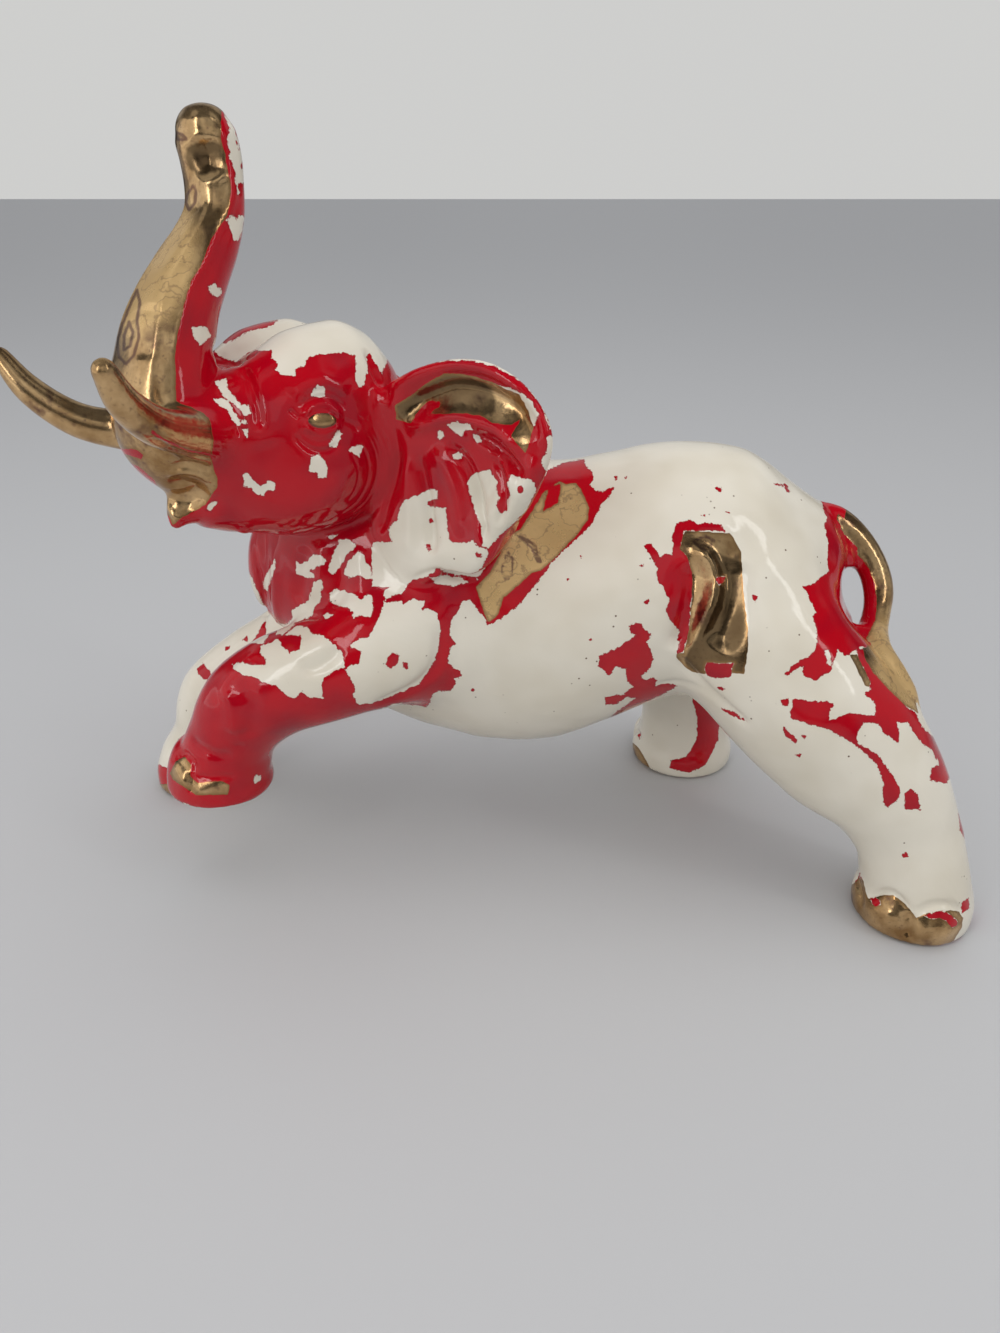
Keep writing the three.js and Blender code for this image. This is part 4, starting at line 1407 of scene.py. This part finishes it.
def brush(points, normals, members, red, gold):
    """Lays all outlines on the sides that the camera faces, and tells how far they face it."""
    red, gold = red.copy(), gold.copy()
    pixels, depth = seen_at(points)
    facing = facing_eye(points, normals)
    scale = depth / LENS
    for colour, names, outlines in PAINT:
        there = any_of(members, names) & (facing > PAINT_FACING)
        for outline in outlines:
            low, high = np.min(outline, axis=0) - MARGIN, np.max(outline, axis=0) + MARGIN
            near = np.flatnonzero(there & np.all((pixels > low) & (pixels < high), axis=1))
            if not len(near):
                continue
            inside = outline_distance(pixels[near], outline) * scale[near]
            if colour in ("red", "bare"):
                red[near] = np.maximum(red[near], inside)
            if colour == "cream":
                red[near] = np.minimum(red[near], -inside)
            if colour == "gold":
                gold[near] = np.maximum(gold[near], inside)
            if colour in ("bare", "ungilded"):
                gold[near] = np.minimum(gold[near], -inside)
    return red, gold, facing


def gold_marks(points, normals, outlines, filled):
    """Millimetres inside outlines in the gold, or from their edges where they are rings."""
    pixels, depth = seen_at(points)
    facing = facing_eye(points, normals)
    mark = np.full(len(points), -DEEP if filled else DEEP)
    for outline in outlines:
        low, high = np.min(outline, axis=0) - MARK_MARGIN, np.max(outline, axis=0) + MARK_MARGIN
        near = np.flatnonzero(np.all((pixels > low) & (pixels < high), axis=1)
                              & (facing > MARK_FACING))
        far = outline_distance(pixels[near], outline) * depth[near] / LENS
        mark[near] = (np.maximum(mark[near], far) if filled
                      else np.minimum(mark[near], np.abs(far)))
    return mark


LUMP_GRID = 48  # lumps to each side before they repeat


def lumps(points, size, seed):
    """Smooth random values from -1 to 1 with lumps of this size."""
    grid = np.random.default_rng(seed).uniform(-1, 1, (LUMP_GRID,) * 3)
    place = points / size + LUMP_GRID / 2
    base = np.floor(place).astype(int)
    share = place - base
    share = share * share * (3 - 2 * share)
    base %= LUMP_GRID
    total = 0
    for i, j, k, weight in cell_corners(share):
        x, y, z = ((base + (i, j, k)) % LUMP_GRID).T
        total = total + weight * grid[x, y, z]
    return total


# Torn patches on the hidden sides: share and size of their coarse, middle and fine lumps
TORN_LUMPS = ((0.6, 19), (0.32, 8), (0.18, 3.6))
TORN_STEEP = 9  # millimetres inside the edge at the middle of the largest patches
# Level that is added to them: more than 0 leaves more red than cream
HIDDEN_RED_HEAD, HIDDEN_RED_LEGS, HIDDEN_RED_BODY = 3.2, -1.6, -3.4
TORN_SEED = 11
WANDER = 4  # millimetres by which the mirrored edges of the paint wander
WANDER_SIZE, WANDER_SEEDS = 14, (5, 6, 7)
EDGE_ON = (-0.12, 0.06)  # facing between which seen and hidden paint blend


def torn(points):
    """Random torn patches, in millimetres from their edge when a level is added."""
    return TORN_STEEP * sum(share * lumps(points, size, TORN_SEED + number)
                            for number, (share, size) in enumerate(TORN_LUMPS))


TOE_GOLD_HEIGHT, TOE_GOLD_SCALLOP = 5.5, 3.5  # of its lowest edge, and of the scallops above it
TOE_GOLD_TURN = 1.35  # radians to each side of the front of a foot
FEET = {"foreleg_left": (FORELEG_LEFT, LIFT), "foreleg_right": (FORELEG_RIGHT, 0),
        "hind_leg_left": (HIND_LEG_LEFT, 0), "hind_leg_right": (HIND_LEG_RIGHT, 0)}


def toe_gold(points, members):
    """Gold toes on the hidden sides of the feet, as millimetres inside their scalloped edge."""
    gold = np.full(len(points), -DEEP)
    for name, (stations, sole) in FEET.items():
        x, y, _, radius, _ = stations[-1]
        foot = np.flatnonzero(members[name] & (points[:, 2] < sole + 22))
        turn = np.arctan2(points[foot, 1] - y, x - points[foot, 0])
        top = (TOE_GOLD_HEIGHT + TOE_GOLD_SCALLOP * np.abs(np.cos(2.4 * turn))
               - (points[foot, 2] - sole))
        side = (TOE_GOLD_TURN - np.abs(turn)) * radius * 0.8
        gold[foot] = np.minimum(top, side)
    return gold


def paint_skin(skin, names, piece, near_only=False):
    """Red and gold on every vertex, as millimetres inside their edges."""
    points, normals = skin.points, skin.normals()
    members = {name: piece == number for number, name in enumerate(names)}
    on_head, golden = any_of(members, HEAD + EARS), any_of(members, GOLDEN)
    red = np.where(on_head | golden, DEEP, -DEEP)
    gold = np.where(golden, DEEP, -DEEP)
    near_red, near_gold, facing = brush(points, normals, members, red, gold)
    if near_only:
        return {"red_edge": near_red, "gold_edge": near_gold}

    # The far side takes the near side's paint, mirrored, with edges that wander
    wander = np.stack([lumps(points, WANDER_SIZE, seed) for seed in WANDER_SEEDS], 1) * WANDER
    other = {"left": "right", "right": "left"}
    swapped = {}
    for name in names:
        side = name.rsplit("_", 1)[-1]
        swapped[name] = members[name.replace(side, other.get(side, side))]
    for leg in LEGS:  # they stand otherwise on each side
        swapped[leg] = np.zeros(len(points), bool)
    turned = np.where(on_head[:, None], mirror_head(points), mirror_body(points))
    level = to_head(HEAD_CENTRE + normals)
    level[:, 1] *= -1
    turned_normals = np.where(on_head[:, None], level @ HEAD_AXES, mirror_body(normals))
    far_red, _, far_facing = brush(turned + wander, turned_normals, swapped, red, gold)
    _, far_gold, _ = brush(turned, turned_normals, swapped, red, gold)
    # What neither side shows is torn at random
    legs = any_of(members, LEGS)
    hidden_red = torn(points) + np.where(on_head | golden, HIDDEN_RED_HEAD,
                                         np.where(legs, HIDDEN_RED_LEGS, HIDDEN_RED_BODY))
    hidden_gold = np.maximum(gold, toe_gold(points, members))
    seen = smoothstep(*EDGE_ON, facing)
    mirrored = np.where(legs, 0.0, (1 - seen) * smoothstep(*EDGE_ON, far_facing))
    hidden = 1 - seen - mirrored
    reds = seen * near_red + mirrored * far_red + hidden * hidden_red
    golds = seen * near_gold + mirrored * far_gold + hidden * hidden_gold
    return {"red_edge": reds, "gold_edge": golds,
            "stain_and_lid_shadow": gold_marks(points, normals, STAINS_AND_LID_SHADOW, False),
            "painted_dark_reflection": gold_marks(points, normals, PAINTED_DARK_REFLECTIONS, True)}


# Glazes
class Number:
    """A number of a material, with arithmetic that makes nodes."""

    def __init__(self, box, socket):
        self.box = box
        self.socket = socket

    def __add__(self, other):
        return self.box.sum("ADD", self, other)

    def __sub__(self, other):
        return self.box.sum("SUBTRACT", self, other)

    def __mul__(self, other):
        return self.box.sum("MULTIPLY", self, other)

    __radd__ = __add__
    __rmul__ = __mul__

    def __rsub__(self, other):
        return self.box.sum("SUBTRACT", other, self)

    def above(self, low, high):
        """0 below low, 1 above high, a straight ramp between."""
        node = self.box.node("ShaderNodeMapRange", {"clamp": True}, {
            "Value": self, "From Min": low, "From Max": high, "To Min": 0.0, "To Max": 1.0})
        return Number(self.box, node.outputs["Result"])


class Paintbox:
    """The nodes of one material."""

    def __init__(self, name):
        self.material = bpy.data.materials.new(name)
        self.material.use_nodes = True
        self.tree = self.material.node_tree
        self.tree.nodes.clear()

    def node(self, kind, settings=None, inputs=None):
        node = self.tree.nodes.new(kind)
        for key, value in (settings or {}).items():
            setattr(node, key, value)
        for key, value in (inputs or {}).items():
            socket = node.inputs[key]
            if isinstance(value, Number):
                self.tree.links.new(value.socket, socket)
            else:
                socket.default_value = value
        return node

    def sum(self, operation, first, second):
        node = self.node("ShaderNodeMath", {"operation": operation}, {0: first, 1: second})
        return Number(self, node.outputs[0])

    def attribute(self, name):
        node = self.node("ShaderNodeAttribute", {"attribute_name": name})
        return Number(self, node.outputs["Fac"])

    def place(self):
        """Place on the piece, in millimetres."""
        where = self.node("ShaderNodeTexCoord").outputs["Object"]
        grown = self.node("ShaderNodeVectorMath", {"operation": "SCALE"}, {
            "Vector": Number(self, where), "Scale": 1000.0})
        return Number(self, grown.outputs[0])

    def noise(self, place, size, detail=2.0, roughness=0.5):
        """Random values near 0, between about -0.5 and 0.5, with lumps of this size."""
        node = self.node("ShaderNodeTexNoise", None, {
            "Vector": place, "Scale": 1 / size, "Detail": detail, "Roughness": roughness})
        return Number(self, node.outputs[0]) - 0.5

    def cells(self, place, size):
        """Distance to the nearest of random dots, 0 on a dot."""
        node = self.node("ShaderNodeTexVoronoi", None, {
            "Vector": place, "Scale": 1 / size})
        return Number(self, node.outputs["Distance"])

    def blend(self, share, first, second):
        """First colour where share is 0, second where it is 1."""
        node = self.node("ShaderNodeMix", {"data_type": "RGBA"}, {0: share, 6: first, 7: second})
        return Number(self, node.outputs[2])

    def mix(self, share, first, second):
        """First number where share is 0, second where it is 1."""
        node = self.node("ShaderNodeMix", {"data_type": "FLOAT"}, {0: share, 2: first, 3: second})
        return Number(self, node.outputs[0])


# Colours of the glazes
CREAM = (0.72, 0.67, 0.56, 1)
CREAM_SHADE = (0.62, 0.56, 0.44, 1)
SPECK = (0.10, 0.05, 0.025, 1)
RED = (0.43, 0.001, 0.008, 1)
DEEP_RED = (0.30, 0.0005, 0.010, 1)
GOLD = (0.66, 0.44, 0.22, 1)
BRONZE = (0.33, 0.185, 0.075, 1)
REFLECTION_UMBER = (0.11, 0.07, 0.035, 1)
SHEEN_OCHRE = (0.78, 0.52, 0.22, 1)
PLUM = (0.17, 0.085, 0.06, 1)
# Gold that is worn and scratched, with a lighter ochre as its painted sheen, as a middle, seen from
# the side,
# and a reach: neck patch, end of the tail, trunk
WORN_GOLD_AND_SHEEN = [
    ((4.0, 0.0, 117.0), 28.0), ((110.0, 0.0, 73.0), 13.0), ((-99.0, 0.0, 192.0), 15.0)]
WORN_AND_SHEEN_FADE = 5.0
GLOSS = 0.08  # roughness of the cream and the red
METAL = 0.93  # of the gold where it is not worn


def glaze_material(name):
    """Cream glaze under torn red paint and brushed-on gold lustre, all glossy."""
    box = Paintbox(name)
    place = box.place()
    jag = box.noise(place, 1.5, 3.0, 0.6) * 1.6 + box.noise(place, 0.45, 1.0) * 0.5
    red_edge = box.attribute("red_edge") + jag
    gold_edge = box.attribute("gold_edge") + box.noise(place, 2.2, 1.0) * 0.7
    red = red_edge.above(-0.07, 0.07)
    gold = gold_edge.above(-0.08, 0.08)

    # Cream with rare dark specks
    cream = box.blend(box.noise(place, 22.0, 2.0).above(-0.1, 0.35), CREAM, CREAM_SHADE)
    specks = (0.12 - box.cells(place, 2.9)).above(0.0, 0.05)
    rare = box.noise(place, 5.0, 0.0).above(0.12, 0.2)
    cream = box.blend(specks * rare, cream, SPECK)
    # Red, deeper along its torn edge
    scarlet = box.blend(box.noise(place, 14.0, 2.0).above(-0.05, 0.3), RED, DEEP_RED)
    rim = red_edge.above(0.0, 0.5)
    scarlet = box.blend(rim, DEEP_RED, scarlet)
    body = box.blend(red, cream, scarlet)
    # Gold with brown clouds, rubbed specks, worn places with a painted sheen, painted dark
    # reflections and shade, dark rings and a painted lid shadow
    clouds = box.noise(place, 12.0, 4.0, 0.6)
    lustre = box.blend(clouds.above(-0.10, 0.16), GOLD, BRONZE)
    rubbed = box.noise(place, 1.3, 3.0, 0.7).above(0.07, 0.2)
    lustre = box.blend(rubbed * 0.55, lustre, PLUM)
    lustre = box.blend(box.noise(place, 9.0, 3.0, 0.6).above(0.08, 0.2), lustre, PLUM)
    # Painted dark reflection and shade: the gold turns umber inside these outlines
    dark = (box.attribute("painted_dark_reflection") + box.noise(place, 3.0, 2.0)).above(-0.3, 0.5)
    lustre = box.blend(dark * 0.8, lustre, REFLECTION_UMBER)
    # The worn places with their painted sheen are measured as seen from the side, so that they reach
    # through the body
    flat = box.node("ShaderNodeVectorMath", {"operation": "MULTIPLY"}, {
        0: place, 1: (1, 0, 1)})
    worn_and_sheen = 0
    for middle, reach in WORN_GOLD_AND_SHEEN:
        away = box.node("ShaderNodeVectorMath", {"operation": "DISTANCE"}, {
            0: Number(box, flat.outputs[0]), 1: middle})
        worn_and_sheen = worn_and_sheen + (1 - Number(box, away.outputs["Value"]).above(reach, reach + WORN_AND_SHEEN_FADE))
    # Painted sheen: a lighter ochre over the worn gold
    lustre = box.blend(worn_and_sheen * 0.75, lustre, SHEEN_OCHRE)
    scratches = 0.025 - box.sum("ABSOLUTE", box.noise(place, 6.0, 3.0), 0.0)
    lustre = box.blend(scratches.above(0.0, 0.02) * worn_and_sheen * 0.4, lustre, PLUM)
    lustre = box.blend(gold_edge.above(0.0, 0.9), BRONZE, lustre)
    # Dark rings in plum over the gold, with the painted lid shadow round the near eye
    ring = 1 - (box.attribute("stain_and_lid_shadow") + box.noise(place, 1.5, 2.0) * 0.5).above(0.2, 0.55)
    lustre = box.blend(ring * 0.85, lustre, PLUM)
    colour = box.blend(gold, body, lustre)

    # Gloss, and the slight relief of the paint and the glaze
    mottle = box.noise(place, 5.0, 4.0, 0.65)
    rough = box.mix(gold, GLOSS, mottle.above(-0.2, 0.3) * 0.16 + worn_and_sheen * 0.1 + 0.13)
    ripple = box.noise(place, 7.0, 2.0) * 0.10 + box.noise(place, 1.1, 2.0) * 0.012
    height = ripple + red_edge.above(-0.15, 0.25) * 0.035 + gold * box.noise(place, 2.0, 2.0) * 0.05
    bump = box.node("ShaderNodeBump", None, {
        "Strength": 1.0, "Distance": 0.001, "Height": height})
    surface = box.node("ShaderNodeBsdfPrincipled", None, {
        "Base Color": colour, "Roughness": rough, "Metallic": gold * (METAL - 0.45 * worn_and_sheen),
        "Normal": Number(box, bump.outputs[0]), "IOR": 1.5,
        "Specular IOR Level": 0.44})
    output = box.node("ShaderNodeOutputMaterial")
    box.tree.links.new(surface.outputs[0], output.inputs["Surface"])
    return box.material


TAIL_HOLE = (852, 592)  # pixel of its middle
TAIL_HOLE_SIZE = (3.0, 8.1)  # half width and half height
TAIL_HOLE_LEAN = 0.18  # radians, its top toward the head
TAIL_HOLE_ROUND = 2.5  # softness of its edge
TAIL_HOLE_LOW, TAIL_HOLE_HIGH = (96, -45, 66), (126, 30, 112)  # corners of the box round it


def carve_vent(body):
    """Firing hole in the belly."""
    low, shape = body.low, body.values.shape
    x = (low[0] + np.arange(shape[0])) * GRAIN - VENT_X
    y = (low[1] + np.arange(shape[1])) * GRAIN
    z = (low[2] + np.arange(shape[2])) * GRAIN
    round_part = np.hypot(x[:, None], y[None])[:, :, None] - VENT_RADIUS
    height = np.abs(z - TORSO_BOTTOM)[None, None] - VENT_DEPTH
    body.values = np.maximum(body.values, -np.maximum(round_part, height)).astype(np.float32)


def carve_tail_hole(body):
    """Hole between the rump and the tail, cut along the line of sight."""
    low, high = np.array(TAIL_HOLE_LOW), np.array(TAIL_HOLE_HIGH)
    window = tuple(slice(a, b) for a, b in zip(low - body.low, high - body.low))
    places = np.stack(np.meshgrid(*[np.arange(a, b) * GRAIN for a, b in zip(low, high)],
                                  indexing="ij"), -1).reshape(-1, 3)
    pixels, depth = seen_at(places)
    off = (pixels - TAIL_HOLE) * (depth / LENS)[:, None]
    sin, cos = math.sin(TAIL_HOLE_LEAN), math.cos(TAIL_HOLE_LEAN)
    across = (off[:, 0] * cos - off[:, 1] * sin) / TAIL_HOLE_SIZE[0]
    along = (off[:, 0] * sin + off[:, 1] * cos) / TAIL_HOLE_SIZE[1]
    cut = ((1 - np.hypot(across, along)) * TAIL_HOLE_SIZE[0]).reshape(high - low)
    there = body.values[window]
    body.values[window] = np.maximum(there, cut) + fillet(there, cut, TAIL_HOLE_ROUND)


def make_skin(pieces):
    """The skin over the luted pieces, and the clay that it lies on."""
    body = cast_body(pieces)
    carve_vent(body)
    carve_tail_hole(body)
    return slip_skin(body)


def head_zone(skin, near, names):
    """Vertices of the head and the ears, with a margin."""
    piece = near.argmin(axis=1)
    chosen = belongs(piece, names, HEAD + EARS)
    for _ in range(3):
        chosen = skin.mean_around(chosen.astype(float)) > 0
    return chosen


EYE_PIXEL = (322, 420)
EYE_REACH = 9  # of the finer skin round an eye
PAINT_REACH = 1.2  # of the finer skin along the edges of the paint
FINE_FACING = -0.1  # how far it has to face the camera


def eye_zone(skin):
    """Vertices round both eyes."""
    eye = Hand(skin).find([EYE_PIXEL])[0]
    other = mirror_head(eye[None])[0]
    far = np.minimum(np.linalg.norm(skin.points - eye, axis=1),
                     np.linalg.norm(skin.points - other, axis=1))
    return far < EYE_REACH


def build():
    """Casts, lutes, models, paints and parts the figurine."""
    pieces = cast()
    names = list(pieces)
    skin, clay = make_skin(pieces)
    settle(skin, clay)

    # A finer skin on the head, and a finer one again round the eyes
    skin.refine(head_zone(skin, piece_shares(skin, pieces), names))
    skin.refine(eye_zone(skin))
    settle(skin, clay, 1)
    piece = piece_shares(skin, pieces).argmin(axis=1)
    skin.sponge(5)
    model(skin, names, piece)
    skin.sponge(1)
    skin.points[:, 2] = np.maximum(skin.points[:, 2], 0)

    # A finer skin along the edges of the paint that the photograph shows on the body
    paint = paint_skin(skin, names, piece, near_only=True)
    edges = np.minimum(np.abs(paint["red_edge"]), np.abs(paint["gold_edge"])) < PAINT_REACH
    edges &= ~belongs(piece, names, HEAD + EARS)
    edges &= facing_eye(skin.points, skin.normals()) > FINE_FACING
    skin.refine(edges)

    near = piece_shares(skin, pieces)
    paint = paint_skin(skin, names, near.argmin(axis=1))
    labels = label_faces(skin, near)
    normals, tree = skin.normals(), skin.tree()
    material = glaze_material("glaze")
    for number, name in enumerate(names):
        slot = "gold_lustre" if name in GOLDEN else "glaze"
        build_piece(name, skin, normals, labels, number, tree, paint, material)


build()


# Camera, floor and light
def stand_camera():
    """The camera of the photograph."""
    data = bpy.data.cameras.new("camera")
    data.sensor_fit = "VERTICAL"
    data.sensor_height = 36
    data.lens = 36 * LENS / (2 * CENTRE[1])
    data.clip_start = 0.01
    camera = bpy.data.objects.new("camera", data)
    camera.location = to_row(CAMERA)
    camera.rotation_euler = (math.pi / 2 - CAMERA_PITCH, 0, 0)
    bpy.context.scene.collection.objects.link(camera)
    bpy.context.scene.camera = camera


FLOOR_REACH = 6.0
FLOOR_GREY = (0.5, 0.5, 0.497, 1)


def lay_floor():
    """A plain pale floor."""
    mesh = bpy.data.meshes.new("floor")
    mesh.from_pydata([(x * FLOOR_REACH, y * FLOOR_REACH, 0)
                      for x, y in ((-1, -1), (1, -1), (1, 1), (-1, 1))], [], [(0, 1, 2, 3)])
    floor = bpy.data.objects.new("floor", mesh)
    bpy.context.scene.collection.objects.link(floor)
    material = bpy.data.materials.new("floor")
    material.use_nodes = True
    surface = material.node_tree.nodes["Principled BSDF"]
    surface.inputs["Base Color"].default_value = FLOOR_GREY
    surface.inputs["Roughness"].default_value = 0.5
    mesh.materials.append(material)


LAMP_AIM = (0, 0, 0.1)
# Name, place, size, power, and whether the glaze and the gold mirror it
LAMPS = [
    ("ceiling", (0.1, -0.1, 1.1), (1.0, 1.0), 3.4, False),
    ("pale_wall", (-0.95, -0.3, 0.32), (1.3, 0.8), 2.4, True),
    ("room_light", (-0.15, -1.0, 0.72), (0.8, 0.5), 0.35, True),
    ("left_window", (-0.6, -0.75, 0.6), (0.16, 0.6), 1.2, True),
    ("right_window", (0.75, -0.5, 0.75), (0.12, 0.7), 1.0, True),
]
ROOM_PATCHES = {"Scale": 1.6, "Detail": 1.5}
ROOM_DARK, ROOM_PALE = 0.05, 0.4  # brightness of the patches of the room that the gold mirrors
# Colours of the room as it falls on the figurine, as its gloss mirrors it, and as a backdrop
ROOM_COLOURS = ((0.95, 0.96, 1, 1), (0.85, 0.88, 0.9, 1), (0.62, 0.62, 0.61, 1))
ROOM_STRENGTH = 0.75  # of the light that falls on the figurine


def hang_lamp(name, place, size, power, mirrored):
    """A soft lamp turned to the figurine."""
    data = bpy.data.lights.new(name, "AREA")
    data.shape = "RECTANGLE"
    data.size, data.size_y = size
    data.energy = power
    lamp = bpy.data.objects.new(name, data)
    lamp.location = place
    lamp.rotation_euler = (Vector(LAMP_AIM) - Vector(place)).to_track_quat("-Z", "Y").to_euler()
    lamp.visible_glossy = mirrored
    bpy.context.scene.collection.objects.link(lamp)


def light_the_room():
    """Soft studio light, and a room of pale and dark patches for the gloss to mirror."""
    world = bpy.data.worlds.new("room")
    bpy.context.scene.world = world
    world.use_nodes = True
    tree = world.node_tree
    tree.nodes.clear()
    output = tree.nodes.new("ShaderNodeOutputWorld")
    path = tree.nodes.new("ShaderNodeLightPath")
    place = tree.nodes.new("ShaderNodeTexCoord")
    patches = tree.nodes.new("ShaderNodeTexNoise")
    for name, value in ROOM_PATCHES.items():
        patches.inputs[name].default_value = value
    tree.links.new(place.outputs["Object"], patches.inputs["Vector"])
    walls = tree.nodes.new("ShaderNodeMapRange")
    tree.links.new(patches.outputs["Fac"], walls.inputs["Value"])
    for name, value in (("From Min", 0.44), ("From Max", 0.56), ("To Min", ROOM_DARK),
                        ("To Max", ROOM_PALE)):
        walls.inputs[name].default_value = value
    glows = []
    for colour in ROOM_COLOURS:
        glow = tree.nodes.new("ShaderNodeBackground")
        glow.inputs["Color"].default_value = colour
        glows.append(glow)
    glows[0].inputs["Strength"].default_value = ROOM_STRENGTH
    tree.links.new(walls.outputs["Result"], glows[1].inputs["Strength"])
    shown = glows[0].outputs[0]
    for ray, glow in (("Is Glossy Ray", glows[1]), ("Is Camera Ray", glows[2])):
        mix = tree.nodes.new("ShaderNodeMixShader")
        tree.links.new(path.outputs[ray], mix.inputs["Fac"])
        tree.links.new(shown, mix.inputs[1])
        tree.links.new(glow.outputs[0], mix.inputs[2])
        shown = mix.outputs[0]
    tree.links.new(shown, output.inputs["Surface"])
    for lamp in LAMPS:
        hang_lamp(*lamp)


stand_camera()
lay_floor()
light_the_room()
bpy.context.scene.view_settings.view_transform = "Standard"
